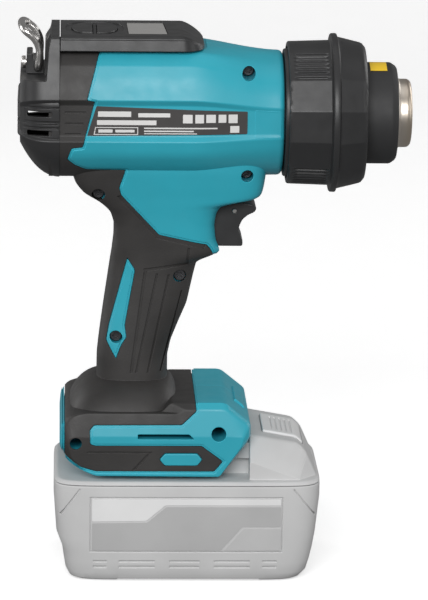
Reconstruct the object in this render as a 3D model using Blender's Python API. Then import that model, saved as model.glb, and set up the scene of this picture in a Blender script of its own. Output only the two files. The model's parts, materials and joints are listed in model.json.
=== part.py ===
"""Cordless heat gun, modelled as the separate pieces it is assembled from.

Frame: +X points out of the nozzle, +Z up, +Y to the tool's left side.
The origin is at the base of the battery, in the middle of the tool's length and width.
Lengths below are in millimetres; every mesh is written in metres by the MM factor.
"""
import math

import bmesh
import bpy
from mathutils import Vector

MM = 0.001
GAP = 0.3              # air left between two touching pieces
WALL = 3.0             # wall of the moulded shells
SKIN = 1.5             # thickness of the soft overmould

# Driving dimensions of the motor and heater barrel
AXIS_Z = 207.0         # height of the air path's axis
SEAM_X = -68.5         # joint between the housing and the rear cover
BODY_FRONT_X = 30.0
BODY_FRONT_R = 28.0
BARREL_HALF_WIDTH = 31.3

# Driving dimensions of the grip, foot and battery
FOOT_HALF_WIDTH = 36.5
DECK_Z = 46.5          # top of the battery's body, under the foot
RAIL_REAR_X = -55.5    # rear end of the battery's rails

# The panel on top
PANEL_TOP_Z = 244.4
PANEL_BOTTOM_Z = 238.0
PANEL_HALF_WIDTH = 25.5

TRIGGER_PIN = (9.2, 163.8)
HOOK_PIVOT = (-78.3, 228.4)
HOOK_HALF_SPAN = 13.8
HOOK_WIRE_R = 1.7

ROUND = 28             # facets of a large round piece
INNER_ROUND = 16       # facets of a round piece that the housing hides
SMALL_ROUND = 12       # facets of a screw or a pin
POST_ROUND = 8         # facets of a screw post and of a hole in it


# ---------------------------------------------------------------- scene and materials

def clear_scene():
    """Take every object out of the open scene."""
    for item in list(bpy.data.objects):
        bpy.data.objects.remove(item, do_unlink=True)


def material(name, colour, roughness, metallic=0.0):
    """Principled material of one colour."""
    made = bpy.data.materials.new(name)
    made.use_nodes = True
    shader = made.node_tree.nodes["Principled BSDF"]
    shader.inputs["Base Color"].default_value = (*colour, 1.0)
    shader.inputs["Roughness"].default_value = roughness
    shader.inputs["Metallic"].default_value = metallic
    return made


def make_materials():
    """One material for each finish on the tool."""
    return {
        "teal": material("teal_plastic", (0.028, 0.38, 0.48), 0.42),
        "soft": material("black_overmould", (0.040, 0.038, 0.037), 0.72),
        "black": material("black_plastic", (0.035, 0.035, 0.036), 0.5),
        "steel": material("nozzle_steel", (0.62, 0.58, 0.54), 0.25, 1.0),
        "chrome": material("hook_steel", (0.75, 0.75, 0.76), 0.12, 1.0),
        "screw": material("screw_steel", (0.06, 0.06, 0.065), 0.4, 0.8),
        "display": material("display_window", (0.48, 0.47, 0.46), 0.2),
        "plate": material("nameplate_film", (0.07, 0.065, 0.065), 0.35),
        "label": material("yellow_label", (0.9, 0.52, 0.01), 0.45),
        "grey": material("battery_plastic", (0.52, 0.52, 0.52), 0.55),
        "light": material("battery_button_plastic", (0.72, 0.72, 0.72), 0.5),
        "board": material("circuit_board", (0.02, 0.16, 0.06), 0.5),
        "copper": material("copper_contact", (0.72, 0.38, 0.18), 0.3, 1.0),
        "red": material("red_lead", (0.5, 0.02, 0.02), 0.5),
        "mica": material("mica_board", (0.55, 0.43, 0.25), 0.6),
        "ceramic": material("heater_ceramic", (0.78, 0.75, 0.68), 0.8),
        "cell": material("cell_sleeve", (0.05, 0.2, 0.45), 0.45),
        "fan": material("fan_plastic", (0.12, 0.12, 0.13), 0.45),
    }


# ---------------------------------------------------------------- solids

def to_object(name, bm, finish=None):
    """Turn a closed bmesh into an object with outward faces."""
    bmesh.ops.recalc_face_normals(bm, faces=bm.faces[:])
    mesh = bpy.data.meshes.new(name)
    bm.to_mesh(mesh)
    bm.free()
    item = bpy.data.objects.new(name, mesh)
    bpy.context.collection.objects.link(item)
    if finish is not None:
        mesh.materials.append(finish)
    return item


def is_warped(face):
    """Whether a four-sided face is out of flat."""
    a, b, c, d = [vert.co for vert in face.verts]
    normal = (b - a).cross(c - a).normalized()
    return abs(normal.dot(d - a)) > 1e-8


def loft(name, rings, finish=None):
    """Closed solid through rings of points (mm) that all have the same count.

    Its warped sides are split into triangles one way, so nested copies keep an even gap.
    """
    bm = bmesh.new()
    made = [[bm.verts.new(Vector(point) * MM) for point in ring] for ring in rings]
    count = len(made[0])
    for first, second in zip(made, made[1:]):
        for k in range(count):
            after = (k + 1) % count
            bm.faces.new((first[k], first[after], second[after], second[k]))
    warped = [face for face in bm.faces if is_warped(face)]
    bmesh.ops.triangulate(bm, faces=warped, quad_method="FIXED")
    bm.faces.new(made[0])
    bm.faces.new(made[-1])
    return to_object(name, bm, finish)


def prism(name, outline, low_y, high_y, finish=None):
    """Side outline of (x, z) points, carried across the tool from low_y to high_y."""
    rings = [[(x, y, z) for x, z in outline] for y in (low_y, high_y)]
    return loft(name, rings, finish)


def box(name, low, high, finish=None):
    """Block between two corners."""
    outline = [(low[0], low[2]), (high[0], low[2]), (high[0], high[2]), (low[0], high[2])]
    return prism(name, outline, low[1], high[1], finish)


def turned(name, profile, finish=None, facets=ROUND):
    """Piece turned on the air path's axis from a closed profile of (x, radius) points."""
    bm = bmesh.new()
    centre = Vector((0.0, 0.0, AXIS_Z)) * MM
    points = [bm.verts.new(centre + Vector((x, radius, 0.0)) * MM) for x, radius in profile]
    edges = [bm.edges.new((points[k - 1], points[k])) for k in range(len(points))]
    on_axis = [edge for edge in edges if all((v.co - centre).yz.length < 1e-9 for v in edge.verts)]
    swept = [edge for edge in edges if edge not in on_axis]
    for edge in on_axis:
        bm.edges.remove(edge)
    bmesh.ops.spin(bm, geom=points + swept, cent=centre, axis=(1, 0, 0), angle=math.tau,
                   steps=facets, use_merge=True)
    bmesh.ops.remove_doubles(bm, verts=bm.verts[:], dist=1e-7)
    return to_object(name, bm, finish)


def rod(name, start, end, radius, finish=None, facets=SMALL_ROUND):
    """Round bar from start to end, in millimetres."""
    start = Vector(start)
    axis = (Vector(end) - start).normalized()
    side = axis.orthogonal().normalized()
    other = axis.cross(side)
    rings = []
    for centre in (start, Vector(end)):
        angles = [math.tau * k / facets for k in range(facets)]
        rings.append([centre + radius * (math.cos(a) * side + math.sin(a) * other) for a in angles])
    return loft(name, rings, finish)


def stepped_rod(name, start, axis, steps, finish):
    """Turned bar along any axis; steps are (distance along the axis, radius)."""
    start = Vector(start)
    axis = Vector(axis).normalized()
    side = axis.orthogonal().normalized()
    other = axis.cross(side)
    rings = []
    angles = [math.tau * k / SMALL_ROUND for k in range(SMALL_ROUND)]
    for distance, radius in steps:
        turned_ring = [radius * (math.cos(a) * side + math.sin(a) * other) for a in angles]
        rings.append([start + axis * distance + offset for offset in turned_ring])
    return loft(name, rings, finish)


def wire(name, path, radius, finish=None, facets=8):
    """Round wire along a path of points in the order they are joined."""
    points = [Vector(point) for point in path]
    rings = []
    side = None
    for k, here in enumerate(points):
        before = points[max(k - 1, 0)]
        after = points[min(k + 1, len(points) - 1)]
        along = (after - before).normalized()
        side = along.orthogonal() if side is None else side - along * side.dot(along)
        side.normalize()
        other = along.cross(side)
        angles = [math.tau * j / facets for j in range(facets)]
        rings.append([here + radius * (math.cos(a) * side + math.sin(a) * other) for a in angles])
    return loft(name, rings, finish)


def combine(base, tool, operation):
    """Boolean base with tool, keep the result in base and drop the tool."""
    modifier = base.modifiers.new("shape", "BOOLEAN")
    modifier.operation = operation
    modifier.object = tool
    modifier.solver = "EXACT"
    bpy.context.view_layer.update()
    evaluated = base.evaluated_get(bpy.context.evaluated_depsgraph_get())
    result = bpy.data.meshes.new_from_object(evaluated)
    base.modifiers.remove(modifier)
    finishes = list(base.data.materials)
    base.data = result
    result.materials.clear()
    for finish in finishes:
        result.materials.append(finish)
    bpy.data.objects.remove(tool, do_unlink=True)
    return base


def cut(base, tool):
    """Take the tool away from base."""
    return combine(base, tool, "DIFFERENCE")


def unite(base, tool):
    """Add the tool to base."""
    return combine(base, tool, "UNION")


def keep(base, tool):
    """Keep what base shares with the tool."""
    return combine(base, tool, "INTERSECT")


def copy_of(item, name):
    """Separate object with its own copy of the mesh."""
    made = bpy.data.objects.new(name, item.data.copy())
    bpy.context.collection.objects.link(made)
    return made


def as_node(item, name, finish):
    """Give a finished solid its node name and its material."""
    item.name = name
    item.data.name = name
    item.data.materials.clear()
    item.data.materials.append(finish)
    return item


# ---------------------------------------------------------------- outlines

def grow(outline, distance):
    """Closed outline moved outwards by a distance (inwards if negative)."""
    count = len(outline)
    area = sum(outline[k - 1][0] * outline[k][1] - outline[k][0] * outline[k - 1][1]
               for k in range(count))
    sense = 1.0 if area > 0 else -1.0
    moved = []
    for k in range(count):
        here = Vector(outline[k])
        back = (here - Vector(outline[k - 1])).normalized()
        ahead = (Vector(outline[(k + 1) % count]) - here).normalized()
        first = Vector((back.y, -back.x)) * sense
        second = Vector((ahead.y, -ahead.x)) * sense
        bisector = (first + second).normalized()
        reach = distance / max(bisector.dot(first), 0.4)
        moved.append(tuple(here + bisector * reach))
    return moved


def superellipse(half_length, half_width, power, count):
    """Rounded rectangle as (u, v) points; a higher power has squarer corners."""
    points = []
    for k in range(count):
        angle = math.tau * (k + 0.5) / count
        c, s = math.cos(angle), math.sin(angle)
        u = half_length * math.copysign(abs(c) ** (2.0 / power), c)
        v = half_width * math.copysign(abs(s) ** (2.0 / power), s)
        points.append((u, v))
    return points


# ---------------------------------------------------------------- outer shape of the housing

# Right half of the barrel's cross-section, from the top centre to the bottom: (y, z)
BARREL_HALF = [
    (0.0, 238.6), (-12.0, 238.4), (-22.0, 237.2), (-26.3, 232.0), (-29.3, 225.0), (-31.3, 217.0),
    (-30.2, 216.0), (-30.2, 199.8), (-31.3, 198.8), (-29.8, 192.5), (-24.5, 186.3), (-17.0, 181.0),
    (-8.0, 178.6), (0.0, 178.0),
]
# Angles from the top at which the same points sit on the round front of the barrel
FRONT_ANGLES = [0, 14, 32, 48, 61, 74, 79, 101, 106, 118, 134, 150, 166, 180]
BLEND_START_X = -12.0
BARREL_EDGE = 1.4
BARREL_STATIONS = [SEAM_X, -45.0, -12.0, -2.0, 8.0, 18.0, 26.0]


def barrel_section(x, inset):
    """Closed ring of the barrel at x, moved inwards by the inset."""
    share = min(max((x - BLEND_START_X) / (BODY_FRONT_X - BLEND_START_X), 0.0), 1.0)
    share = share * share * (3.0 - 2.0 * share)
    half = []
    for (y, z), degrees in zip(BARREL_HALF, FRONT_ANGLES):
        angle = math.radians(degrees)
        front = (-BODY_FRONT_R * math.sin(angle), AXIS_Z + BODY_FRONT_R * math.cos(angle))
        half.append((y + (front[0] - y) * share, z + (front[1] - z) * share))
    ring = half + [(-y, z) for y, z in reversed(half[1:-1])]
    return [(x, y, z) for y, z in grow(ring, -inset)]


def barrel_solid(name, inset, low_x=SEAM_X):
    """Barrel from the seam to its rounded front edge."""
    rings = [barrel_section(low_x, inset)]
    rings += [barrel_section(x, inset) for x in BARREL_STATIONS[1:]]
    rings.append(barrel_section(BODY_FRONT_X - BARREL_EDGE - inset, inset))
    rings.append(barrel_section(BODY_FRONT_X - inset, inset + BARREL_EDGE))
    return loft(name, rings)


# Neck and grip: height, rear x, front x, half width, squareness
NECK_ROWS = [
    (80.0, -52.2, -19.5, 16.4, 2.8), (97.0, -52.0, -19.5, 16.2, 2.8), (104.0, -51.3, -18.0, 15.8, 2.8),
    (112.0, -50.3, -14.8, 15.4, 2.8), (121.0, -49.1, -11.0, 15.2, 2.8), (135.0, -47.1, -8.0, 15.4, 2.8),
    (140.5, -46.3, -6.6, 15.8, 2.9), (143.9, -45.7, 1.2, 16.2, 3.4), (144.4, -45.6, 3.5, 16.3, 3.6),
    (146.4, -45.4, 3.9, 16.4, 3.8), (151.0, -44.8, 1.5, 16.9, 4.2), (158.0, -44.8, 0.6, 17.6, 4.6),
    (163.7, -46.6, 1.5, 18.3, 5.0), (167.4, -50.5, 4.4, 18.9, 5.2),
]
# Nose above the trigger; these rows also rise with the inset
NOSE_ROWS = [
    (168.5, -52.5, 8.0, 19.1, 5.4), (169.1, -53.6, 18.6, 19.2, 5.4), (171.6, -58.4, 21.4, 19.6, 5.4),
    (176.0, -62.0, 22.4, 20.6, 5.4), (183.0, -64.5, 23.4, 22.0, 5.0), (192.0, -64.5, 24.0, 22.5, 5.0),
]
NECK_POINTS = 20


def neck_ring(row, inset, lift):
    """Closed ring of the neck at one height."""
    z, rear, front, half_width, power = row
    half_length = (front - rear) / 2.0 - inset
    middle = (front + rear) / 2.0
    outline = superellipse(half_length, half_width - inset, power, NECK_POINTS)
    return [(middle + u, v, z + lift) for u, v in outline]


def neck_solid(name, inset):
    """Grip, neck and the nose above the trigger."""
    rings = [neck_ring(row, inset, 0.0) for row in NECK_ROWS]
    rings += [neck_ring(row, inset, inset) for row in NOSE_ROWS]
    return loft(name, rings)


# Side outlines of the foot as (x, z), all with the same count: over its flat top, at the top
# of its leaning side, and on its upright side
FOOT_TOP_OUTLINE = [
    (3.0, 48.0), (15.4, 63.5), (16.8, 66.5), (16.8, 72.2), (5.4, 81.4), (-12.0, 81.4), (-16.0, 77.3),
    (-59.0, 77.3), (-64.5, 76.0), (-67.6, 72.0), (-68.5, 62.0), (-65.0, 55.0), (-58.0, 50.2), (-52.0, 48.0),
]
FOOT_SHOULDER_OUTLINE = [
    (3.0, 48.0), (14.8, 63.5), (16.0, 66.5), (16.0, 71.0), (5.6, 78.9), (-12.5, 78.9), (-15.4, 77.3),
    (-58.0, 77.3), (-63.0, 75.6), (-66.4, 71.0), (-67.4, 62.0), (-64.6, 55.2), (-57.8, 50.4), (-52.0, 48.2),
]
FOOT_SIDE_OUTLINE = [
    (3.0, 48.6), (13.0, 62.9), (14.0, 64.4), (13.9, 66.9), (6.5, 66.9), (-12.5, 66.9), (-17.0, 66.9),
    (-56.0, 66.9), (-60.4, 66.9), (-64.8, 66.5), (-65.0, 62.0), (-63.0, 55.8), (-57.4, 51.2), (-52.0, 48.9),
]
# Distance of each outline from the middle plane
FOOT_STATIONS = [
    (31.6, FOOT_TOP_OUTLINE), (34.2, FOOT_SHOULDER_OUTLINE), (FOOT_HALF_WIDTH, FOOT_SIDE_OUTLINE),
]


def foot_ring(y, outline, inset):
    """Ring of the foot at y, moved inwards by the inset."""
    return [(x, math.copysign(abs(y) - inset, y), z) for x, z in grow(outline, -inset)]


def foot_body(name, inset):
    """Foot's box, below the rounded shoulder."""
    left = [foot_ring(y, outline, inset) for y, outline in FOOT_STATIONS]
    right = [foot_ring(-y, outline, inset) for y, outline in reversed(FOOT_STATIONS)]
    return loft(name, right + left)


# Rounded shoulder that carries the grip, on the foot: base outline and the grip's outline on it
SHOULDER_BASE = (-63.5, -14.5, 32.0, 3.6)      # rear x, front x, half width, squareness
SHOULDER_TOP = (-52.2, -19.5, 16.4, 2.8)
SHOULDER_BASE_Z = 76.6
SHOULDER_RISE = 13.2
SHOULDER_STEPS = 6


def shoulder_solid(name, inset):
    """Shoulder that rises from the foot to the grip in a quarter round."""
    rings = []
    for k in range(-1, SHOULDER_STEPS + 1):
        angle = math.pi / 2.0 * max(k, 0) / SHOULDER_STEPS
        spread = math.cos(angle)
        sizes = [top + (base - top) * spread for base, top in zip(SHOULDER_BASE, SHOULDER_TOP)]
        z = SHOULDER_BASE_Z + SHOULDER_RISE * math.sin(angle) - (8.0 if k < 0 else 0.0) - inset
        rings.append(neck_ring((z, *sizes), inset, 0.0))
    return loft(name, rings)


def foot_solid(name, inset):
    """Foot that the battery slides under, with the shoulder of the grip."""
    return unite(foot_body(name, inset), shoulder_solid("shoulder", inset))


def outer_shape(name, inset):
    """Whole handle and barrel as one solid; one moved inwards runs on past the seam."""
    shape = barrel_solid(name, inset, low_x=SEAM_X - 5.0 * (inset > 0))
    unite(shape, neck_solid("neck", inset))
    unite(shape, foot_solid("foot", inset))
    return shape


# ---------------------------------------------------------------- colour zones of the shell

# Soft black zone over the rear band, the neck, the grip and the foot's shoulder, as (x, z)
SOFT_ZONE = [
    (-80.0, 252.0), (-51.3, 252.0), (-51.3, 238.0), (-56.8, 217.2), (-53.4, 216.6), (-58.6, 196.3),
    (-63.4, 195.8), (-65.4, 190.5), (-62.0, 187.4), (-57.0, 184.9), (-39.6, 184.6), (-42.3, 176.5),
    (-41.4, 172.8), (-24.4, 154.4), (-3.2, 149.6), (-1.2, 147.2), (0.4, 143.2), (8.0, 142.6),
    (8.0, 93.0), (-9.0, 92.0), (-7.5, 78.0), (-14.0, 72.0), (-53.0, 71.8), (-54.8, 69.6),
    (-54.5, 63.3), (-52.5, 62.6), (-5.0, 62.6), (4.4, 55.6), (0.6, 51.0), (-52.0, 51.0),
    (-59.0, 53.0), (-66.0, 58.0), (-66.0, 76.0), (-72.0, 79.0), (-75.0, 92.0),
]
# Hard teal stripe that shows through the grip's overmould
INLAY = [
    (-38.4, 143.4), (-35.0, 138.0), (-39.4, 112.6), (-38.6, 107.2), (-41.0, 103.4), (-43.2, 97.4),
    (-47.6, 105.4), (-46.4, 112.6),
]
ZONE_REACH = 60.0      # half width of the tools that cut the zones

# Housing screws seen on the right side: x, z, radius of the head's recess
SCREWS = {
    "screw_barrel_upper": (14.2, 228.0, 3.0),
    "screw_barrel_lower": (14.2, 181.8, 2.8),
    "screw_neck": (-51.5, 172.5, 3.0),
    "screw_grip_upper": (-15.0, 135.0, 2.9),
    "screw_grip_lower": (-43.2, 107.2, 2.9),
    "screw_foot_front": (2.5, 68.0, 3.3),
    "screw_foot_rear": (-61.0, 63.5, 2.7),
}
SCREW_SEAT_Y = -9.0
BOSS_WALL = 1.9
SHANK_R = 1.5
SHANK_HOLE_R = 1.8


def half_space(name, side):
    """Block that holds one side of the tool, clear of the parting plane."""
    near = side * GAP / 2.0
    far = side * 90.0
    return box(name, (-120.0, min(near, far), -20.0), (120.0, max(near, far), 300.0))


def cavity_tools():
    """Everything that is hollow inside the closed housing, as cutting solids."""
    tools = [barrel_solid("cavity", WALL, low_x=SEAM_X - 5.0)]
    tools.append(neck_solid("cavity", WALL))
    above = box("above", (-80.0, -50.0, 68.0), (40.0, 50.0, 120.0))
    tools.append(keep(shoulder_solid("cavity", WALL), above))
    tools.append(box("foot", (-58.0, -29.0, 65.0), (8.0, 29.0, 73.0)))
    tools.append(box("foot_front", (-20.0, -28.0, 65.0), (4.0, 28.0, 78.0)))
    tools.append(turned("cavity", [(20.0, 0.0), (20.0, 24.0), (40.0, 24.0), (40.0, 0.0)]))
    tools.append(box("rail", (RAIL_REAR_X - 0.6, -26.3, 53.8), (30.0, 26.3, 62.1)))
    tools.append(box("rail", (RAIL_REAR_X - 0.6, -22.8, 40.0), (30.0, 22.8, 54.2)))
    tools.append(box("terminals", (-50.0, -20.0, 61.0), (-10.0, 20.0, 66.0)))
    tools.append(box("trigger", (-12.0, -9.8, 143.0), (30.0, 9.8, 168.4)))
    tools.append(box("panel", (-80.0, -40.0, 237.7), (-4.0, 40.0, 260.0)))
    return tools


def screw_posts(side):
    """Posts that carry the housing screws, from the parting plane into the wall."""
    reach = 60.0 if side < 0 else 13.0
    ends = sorted((side * GAP, side * reach))
    posts = [rod("post", (x, ends[0], z), (x, ends[1], z), radius + BOSS_WALL, facets=POST_ROUND)
             for x, z, radius in SCREWS.values()]
    for post in posts[1:]:
        unite(posts[0], post)
    return keep(posts[0], outer_shape("limit", 1.0))


def make_housing(finish):
    """Right and left clamshells with their screw posts."""
    whole = outer_shape("housing", 0.0)
    for tool in cavity_tools():
        cut(whole, tool)
    zone = soft_zone_cutter()
    for side, name in ((-1, "housing_right"), (1, "housing_left")):
        half = keep(copy_of(whole, name), half_space("side", side))
        unite(half, screw_posts(side))
        cut(half, copy_of(zone, "zone"))
        for x, z, radius in SCREWS.values():
            if side < 0:
                cut(half, rod("hole", (x, -45.0, z), (x, SCREW_SEAT_Y, z), radius))
            far = -40.0 if side < 0 else 11.0
            cut(half, rod("hole", (x, -side, z), (x, far, z), SHANK_HOLE_R, facets=POST_ROUND))
        as_node(half, name, finish)
    for spent in (whole, zone):
        bpy.data.objects.remove(spent, do_unlink=True)


def soft_zone_cutter():
    """Layer of the shell that gives way to the overmould."""
    layer = prism("zone", grow(SOFT_ZONE, GAP / 2.0), -ZONE_REACH, ZONE_REACH)
    cut(layer, prism("inlay", grow(INLAY, -GAP / 2.0), -ZONE_REACH, ZONE_REACH))
    return cut(layer, outer_shape("core", SKIN + GAP))


def soft_openings():
    """Cuts through the overmould: screws, control panel, badge and battery rails."""
    tools = [rod("hole", (x, -45.0, z), (x, -0.1, z), radius + 0.2) for x, z, radius in SCREWS.values()]
    tools.append(box("panel", (-80.0, -40.0, PANEL_BOTTOM_Z - GAP), (-4.0, 40.0, 260.0)))
    tools.append(prism("badge", grow(BADGE, GAP), -ZONE_REACH, 0.0))
    tools.append(box("rails", (RAIL_REAR_X, -26.5, 40.0), (30.0, 26.5, 63.0)))
    return tools


def make_overmould(finish):
    """Right and left soft skins that give the grip."""
    skin = outer_shape("skin", 0.0)
    keep(skin, prism("zone", grow(SOFT_ZONE, -GAP / 2.0), -ZONE_REACH, ZONE_REACH))
    cut(skin, prism("inlay", grow(INLAY, GAP / 2.0), -ZONE_REACH, ZONE_REACH))
    cut(skin, outer_shape("core", SKIN))
    for opening in soft_openings():
        cut(skin, opening)
    for side, name in ((-1, "overmould_right"), (1, "overmould_left")):
        as_node(keep(copy_of(skin, name), half_space("side", side)), name, finish)
    bpy.data.objects.remove(skin, do_unlink=True)


# Side outline of the plate let into the foot's right side
BADGE = [(-23.6, 56.5), (-21.4, 59.2), (-7.0, 59.2), (-4.9, 56.5), (-7.0, 53.8), (-21.4, 53.8)]


def make_badge(finish):
    """Plain plate let into the foot's right side."""
    return prism("foot_badge", BADGE, -FOOT_HALF_WIDTH - 0.2, -FOOT_HALF_WIDTH + 1.3, finish)


def make_screws(finish):
    """Housing screws, with their heads down in the recesses."""
    for name, (x, z, radius) in SCREWS.items():
        head = radius - 0.5
        steps = [(0.0, head - 0.4), (0.5, head), (2.0, head), (2.1, SHANK_R), (17.0, SHANK_R), (18.5, 0.5)]
        stepped_rod(name, (x, SCREW_SEAT_Y - 2.4, z), (0, 1, 0), steps, finish)


# ---------------------------------------------------------------- rear cover, panel and plate

# Stations of the rear cover: x, how far it has drawn in, how far its underside has risen
REAR_STATIONS = [
    (-73.0, 0.2, 1.0), (-79.0, 0.8, 4.4), (-82.6, 2.2, 7.6), (-85.0, 4.6, 11.0), (-86.2, 7.2, 12.5),
]
# Band of louvres round the rear cover, as a plan outline (x, y), and the heights of its slots
BAND_HALF_PLAN = [(SEAM_X - 0.5, 30.9), (-76.0, 30.4), (-81.5, 28.6), (-85.4, 24.6), (-87.3, 18.0)]
BAND_PLAN = [(x, -y) for x, y in BAND_HALF_PLAN] + list(reversed(BAND_HALF_PLAN))
BAND_LOW_Z = 199.4
BAND_HIGH_Z = 216.6
SLOT_HEIGHTS = (210.8, 202.4)
LEDGE_Z = 225.2
# Space above the hook's ledge, as a side outline
ABOVE_LEDGE = [
    (-95.0, LEDGE_Z), (-74.5, LEDGE_Z), (-73.4, 239.5), (-72.6, 242.6), (-71.8, 255.0), (-95.0, 255.0),
]
# Rib in the middle of the wall above the ledge, which the hook's bracket stands against
REAR_RIB = [(-71.0, 243.6), (-72.9, 243.2), (-75.2, 239.6), (-75.6, LEDGE_Z - 0.2), (-71.0, LEDGE_Z - 0.2)]


def rear_ring(x, shrink, lift):
    """Ring of the rear cover at x, with the hump of the panel on top."""
    half = list(BARREL_HALF)
    half[:5] = [(0.0, PANEL_TOP_Z), (-PANEL_HALF_WIDTH + 2.6, PANEL_TOP_Z),
                (-PANEL_HALF_WIDTH + 1.2, PANEL_TOP_Z - 0.9), (-PANEL_HALF_WIDTH, PANEL_BOTTOM_Z),
                (-28.3, 230.0)]
    ring = half + [(-y, z) for y, z in reversed(half[1:-1])]
    scale = 1.0 - shrink / BARREL_HALF_WIDTH
    raised = [(y, z + lift * min(max((200.0 - z) / 22.0, 0.0), 1.0)) for y, z in ring]
    return [(x, y * scale, AXIS_Z + (z - AXIS_Z) * scale) for y, z in raised]


def rear_body(inset, front_x):
    """Rear cover's solid, drawn in by an inset."""
    rings = [rear_ring(front_x, inset, 0.0)]
    rings += [rear_ring(x + inset, shrink + inset, lift) for x, shrink, lift in REAR_STATIONS]
    body = loft("rear", rings)
    cut(body, prism("ledge", grow(ABOVE_LEDGE, inset), -60.0, 60.0))
    return body


def make_rear_cover(finish):
    """Cap over the fan, with air slots and the ledge of the hook."""
    cover = rear_body(0.0, SEAM_X - GAP)
    unite(cover, loft("band", [[(x, y, z) for x, y in BAND_PLAN] for z in (BAND_LOW_Z, BAND_HIGH_Z)]))
    cut(cover, rear_body(WALL, SEAM_X + 2.0))
    unite(cover, prism("rib", REAR_RIB, -10.4, 10.4))
    for z in SLOT_HEIGHTS:
        for side in (-1, 1):
            ends = sorted((side * 20.0, side * 45.0))
            cut(cover, box("slot", (-83.0, ends[0], z - 1.1), (-72.0, ends[1], z + 1.1)))
    for y in (-15.0, -9.0, -3.0, 3.0, 9.0, 15.0):
        cut(cover, box("slot", (-95.0, y - 1.5, 195.0), (-82.0, y + 1.5, 214.0)))
    return as_node(cover, "rear_cover", finish)


def panel_ring(x, half_width, top):
    """Ring of the control panel at x."""
    draft = 1.3 * (top - PANEL_BOTTOM_Z) / (PANEL_TOP_Z - PANEL_BOTTOM_Z)
    half = [(0.0, top), (-half_width + draft + 1.6, top), (-half_width + draft, top - 0.8),
            (-half_width, PANEL_BOTTOM_Z)]
    return [(x, y, z) for y, z in half + [(-y, z) for y, z in reversed(half[1:])]]


PANEL_WINDOW = ((-38.8, -16.0), (-21.2, 16.0))
BUTTON_OVAL = ((-63.4, -13.0), (-43.4, 13.0))
BUTTON_MIDDLE_X = (-54.4, -52.4)


def button_outline(low_x, high_x, half_width, round_low):
    """Half-oval outline of one temperature button, as (x, y)."""
    straight, curved = (high_x, low_x) if round_low else (low_x, high_x)
    depth = curved - straight
    points = [(straight, -half_width), (straight, half_width)]
    for k in range(1, 8):
        angle = math.pi / 2.0 - math.pi * k / 8.0
        points.append((straight + depth * (0.35 + 0.65 * math.cos(angle)), half_width * math.sin(angle)))
    return points


def upright(name, outline, low_z, high_z, finish=None):
    """Plan outline of (x, y) points, carried from low_z to high_z."""
    return loft(name, [[(x, y, z) for x, y in outline] for z in (low_z, high_z)], finish)


def button_plans(clearance):
    """Outlines of the lowering and raising buttons, grown by a clearance."""
    left, right = BUTTON_MIDDLE_X
    half = BUTTON_OVAL[1][1]
    down = grow(button_outline(BUTTON_OVAL[0][0], left, half, True), clearance)
    up = grow(button_outline(right, BUTTON_OVAL[1][0], half, False), clearance)
    return {"temperature_down_button": down, "temperature_up_button": up}


def make_panel(mats):
    """Control panel, its window, buttons and circuit board."""
    rings = [panel_ring(SEAM_X, 25.5, PANEL_TOP_Z), panel_ring(-16.0, 25.5, PANEL_TOP_Z),
             panel_ring(-12.0, 24.5, 243.2), panel_ring(-8.0, 20.0, 241.2), panel_ring(-5.6, 14.0, 240.0)]
    panel = loft("control_panel", rings)
    cut(panel, box("room", (-66.0, -21.5, 230.0), (-17.0, 21.5, 242.6)))
    (x0, y0), (x1, y1) = PANEL_WINDOW
    cut(panel, box("window", (x0, y0, 240.0), (x1, y1, 250.0)))
    for outline in button_plans(GAP).values():
        cut(panel, upright("hole", outline, 240.0, 250.0))
    as_node(panel, "control_panel", mats["black"])
    window = box("display_window", (x0 + GAP, y0 + GAP, 241.6), (x1 - GAP, y1 - GAP, PANEL_TOP_Z - 0.3),
                 mats["display"])
    unite(window, box("rim", (x0 - 1.0, y0 - 1.0, 241.2), (x1 + 1.0, y1 + 1.0, 242.3)))
    for name, outline in button_plans(0.0).items():
        button = upright(name, outline, 241.0, PANEL_TOP_Z + 0.4, mats["black"])
        unite(button, upright("flange", grow(outline, 0.7), 241.0, 242.3))
    box("control_board", (-65.0, -20.5, 237.9), (-19.0, 20.5, 239.1), mats["board"])
    box("display_module", (x0, y0, 239.4), (x1, y1, 240.9), mats["black"])


def make_nameplate(finish):
    """Dark plate in the recess of the right side, without lettering."""
    outline = [(-52.9, 214.7), (13.6, 212.3), (13.6, 202.2), (-56.9, 201.2)]
    plate = prism("nameplate", outline, -40.0, -20.0)
    keep(plate, barrel_solid("outside", -GAP - 0.5))
    cut(plate, barrel_solid("inside", -GAP))
    keep(plate, half_space("side", -1))
    return as_node(plate, "nameplate", finish)


# ---------------------------------------------------------------- hook

HOOK_SIDE = [(0.0, 0.0), (0.7, 4.6), (0.4, 9.3), (-1.6, 13.2), (-4.8, 16.0)]
HOOK_TIP_BACK = 2.6
HOOK_TIP_RISE = 2.2


def hook_path():
    """Wire of the hanging hook, from one pivot end round the loop to the other."""
    px, pz = HOOK_PIVOT
    inner = HOOK_HALF_SPAN - 8.0
    leg = [(px + u, pz + v) for u, v in HOOK_SIDE]
    path = [(px, -inner, pz), (px, -HOOK_HALF_SPAN + 1.6, pz)]
    path += [(x, -HOOK_HALF_SPAN, z) for x, z in leg[1:]]
    last_x, last_z = leg[-1]
    for k in range(1, 8):
        angle = math.pi * k / 8.0
        bulge = math.sin(angle)
        path.append((last_x - HOOK_TIP_BACK * bulge, -HOOK_HALF_SPAN * math.cos(angle),
                     last_z + HOOK_TIP_RISE * bulge))
    path += [(x, HOOK_HALF_SPAN, z) for x, z in reversed(leg[1:])]
    path += [(px, HOOK_HALF_SPAN - 1.6, pz), (px, inner, pz)]
    return path


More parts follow.
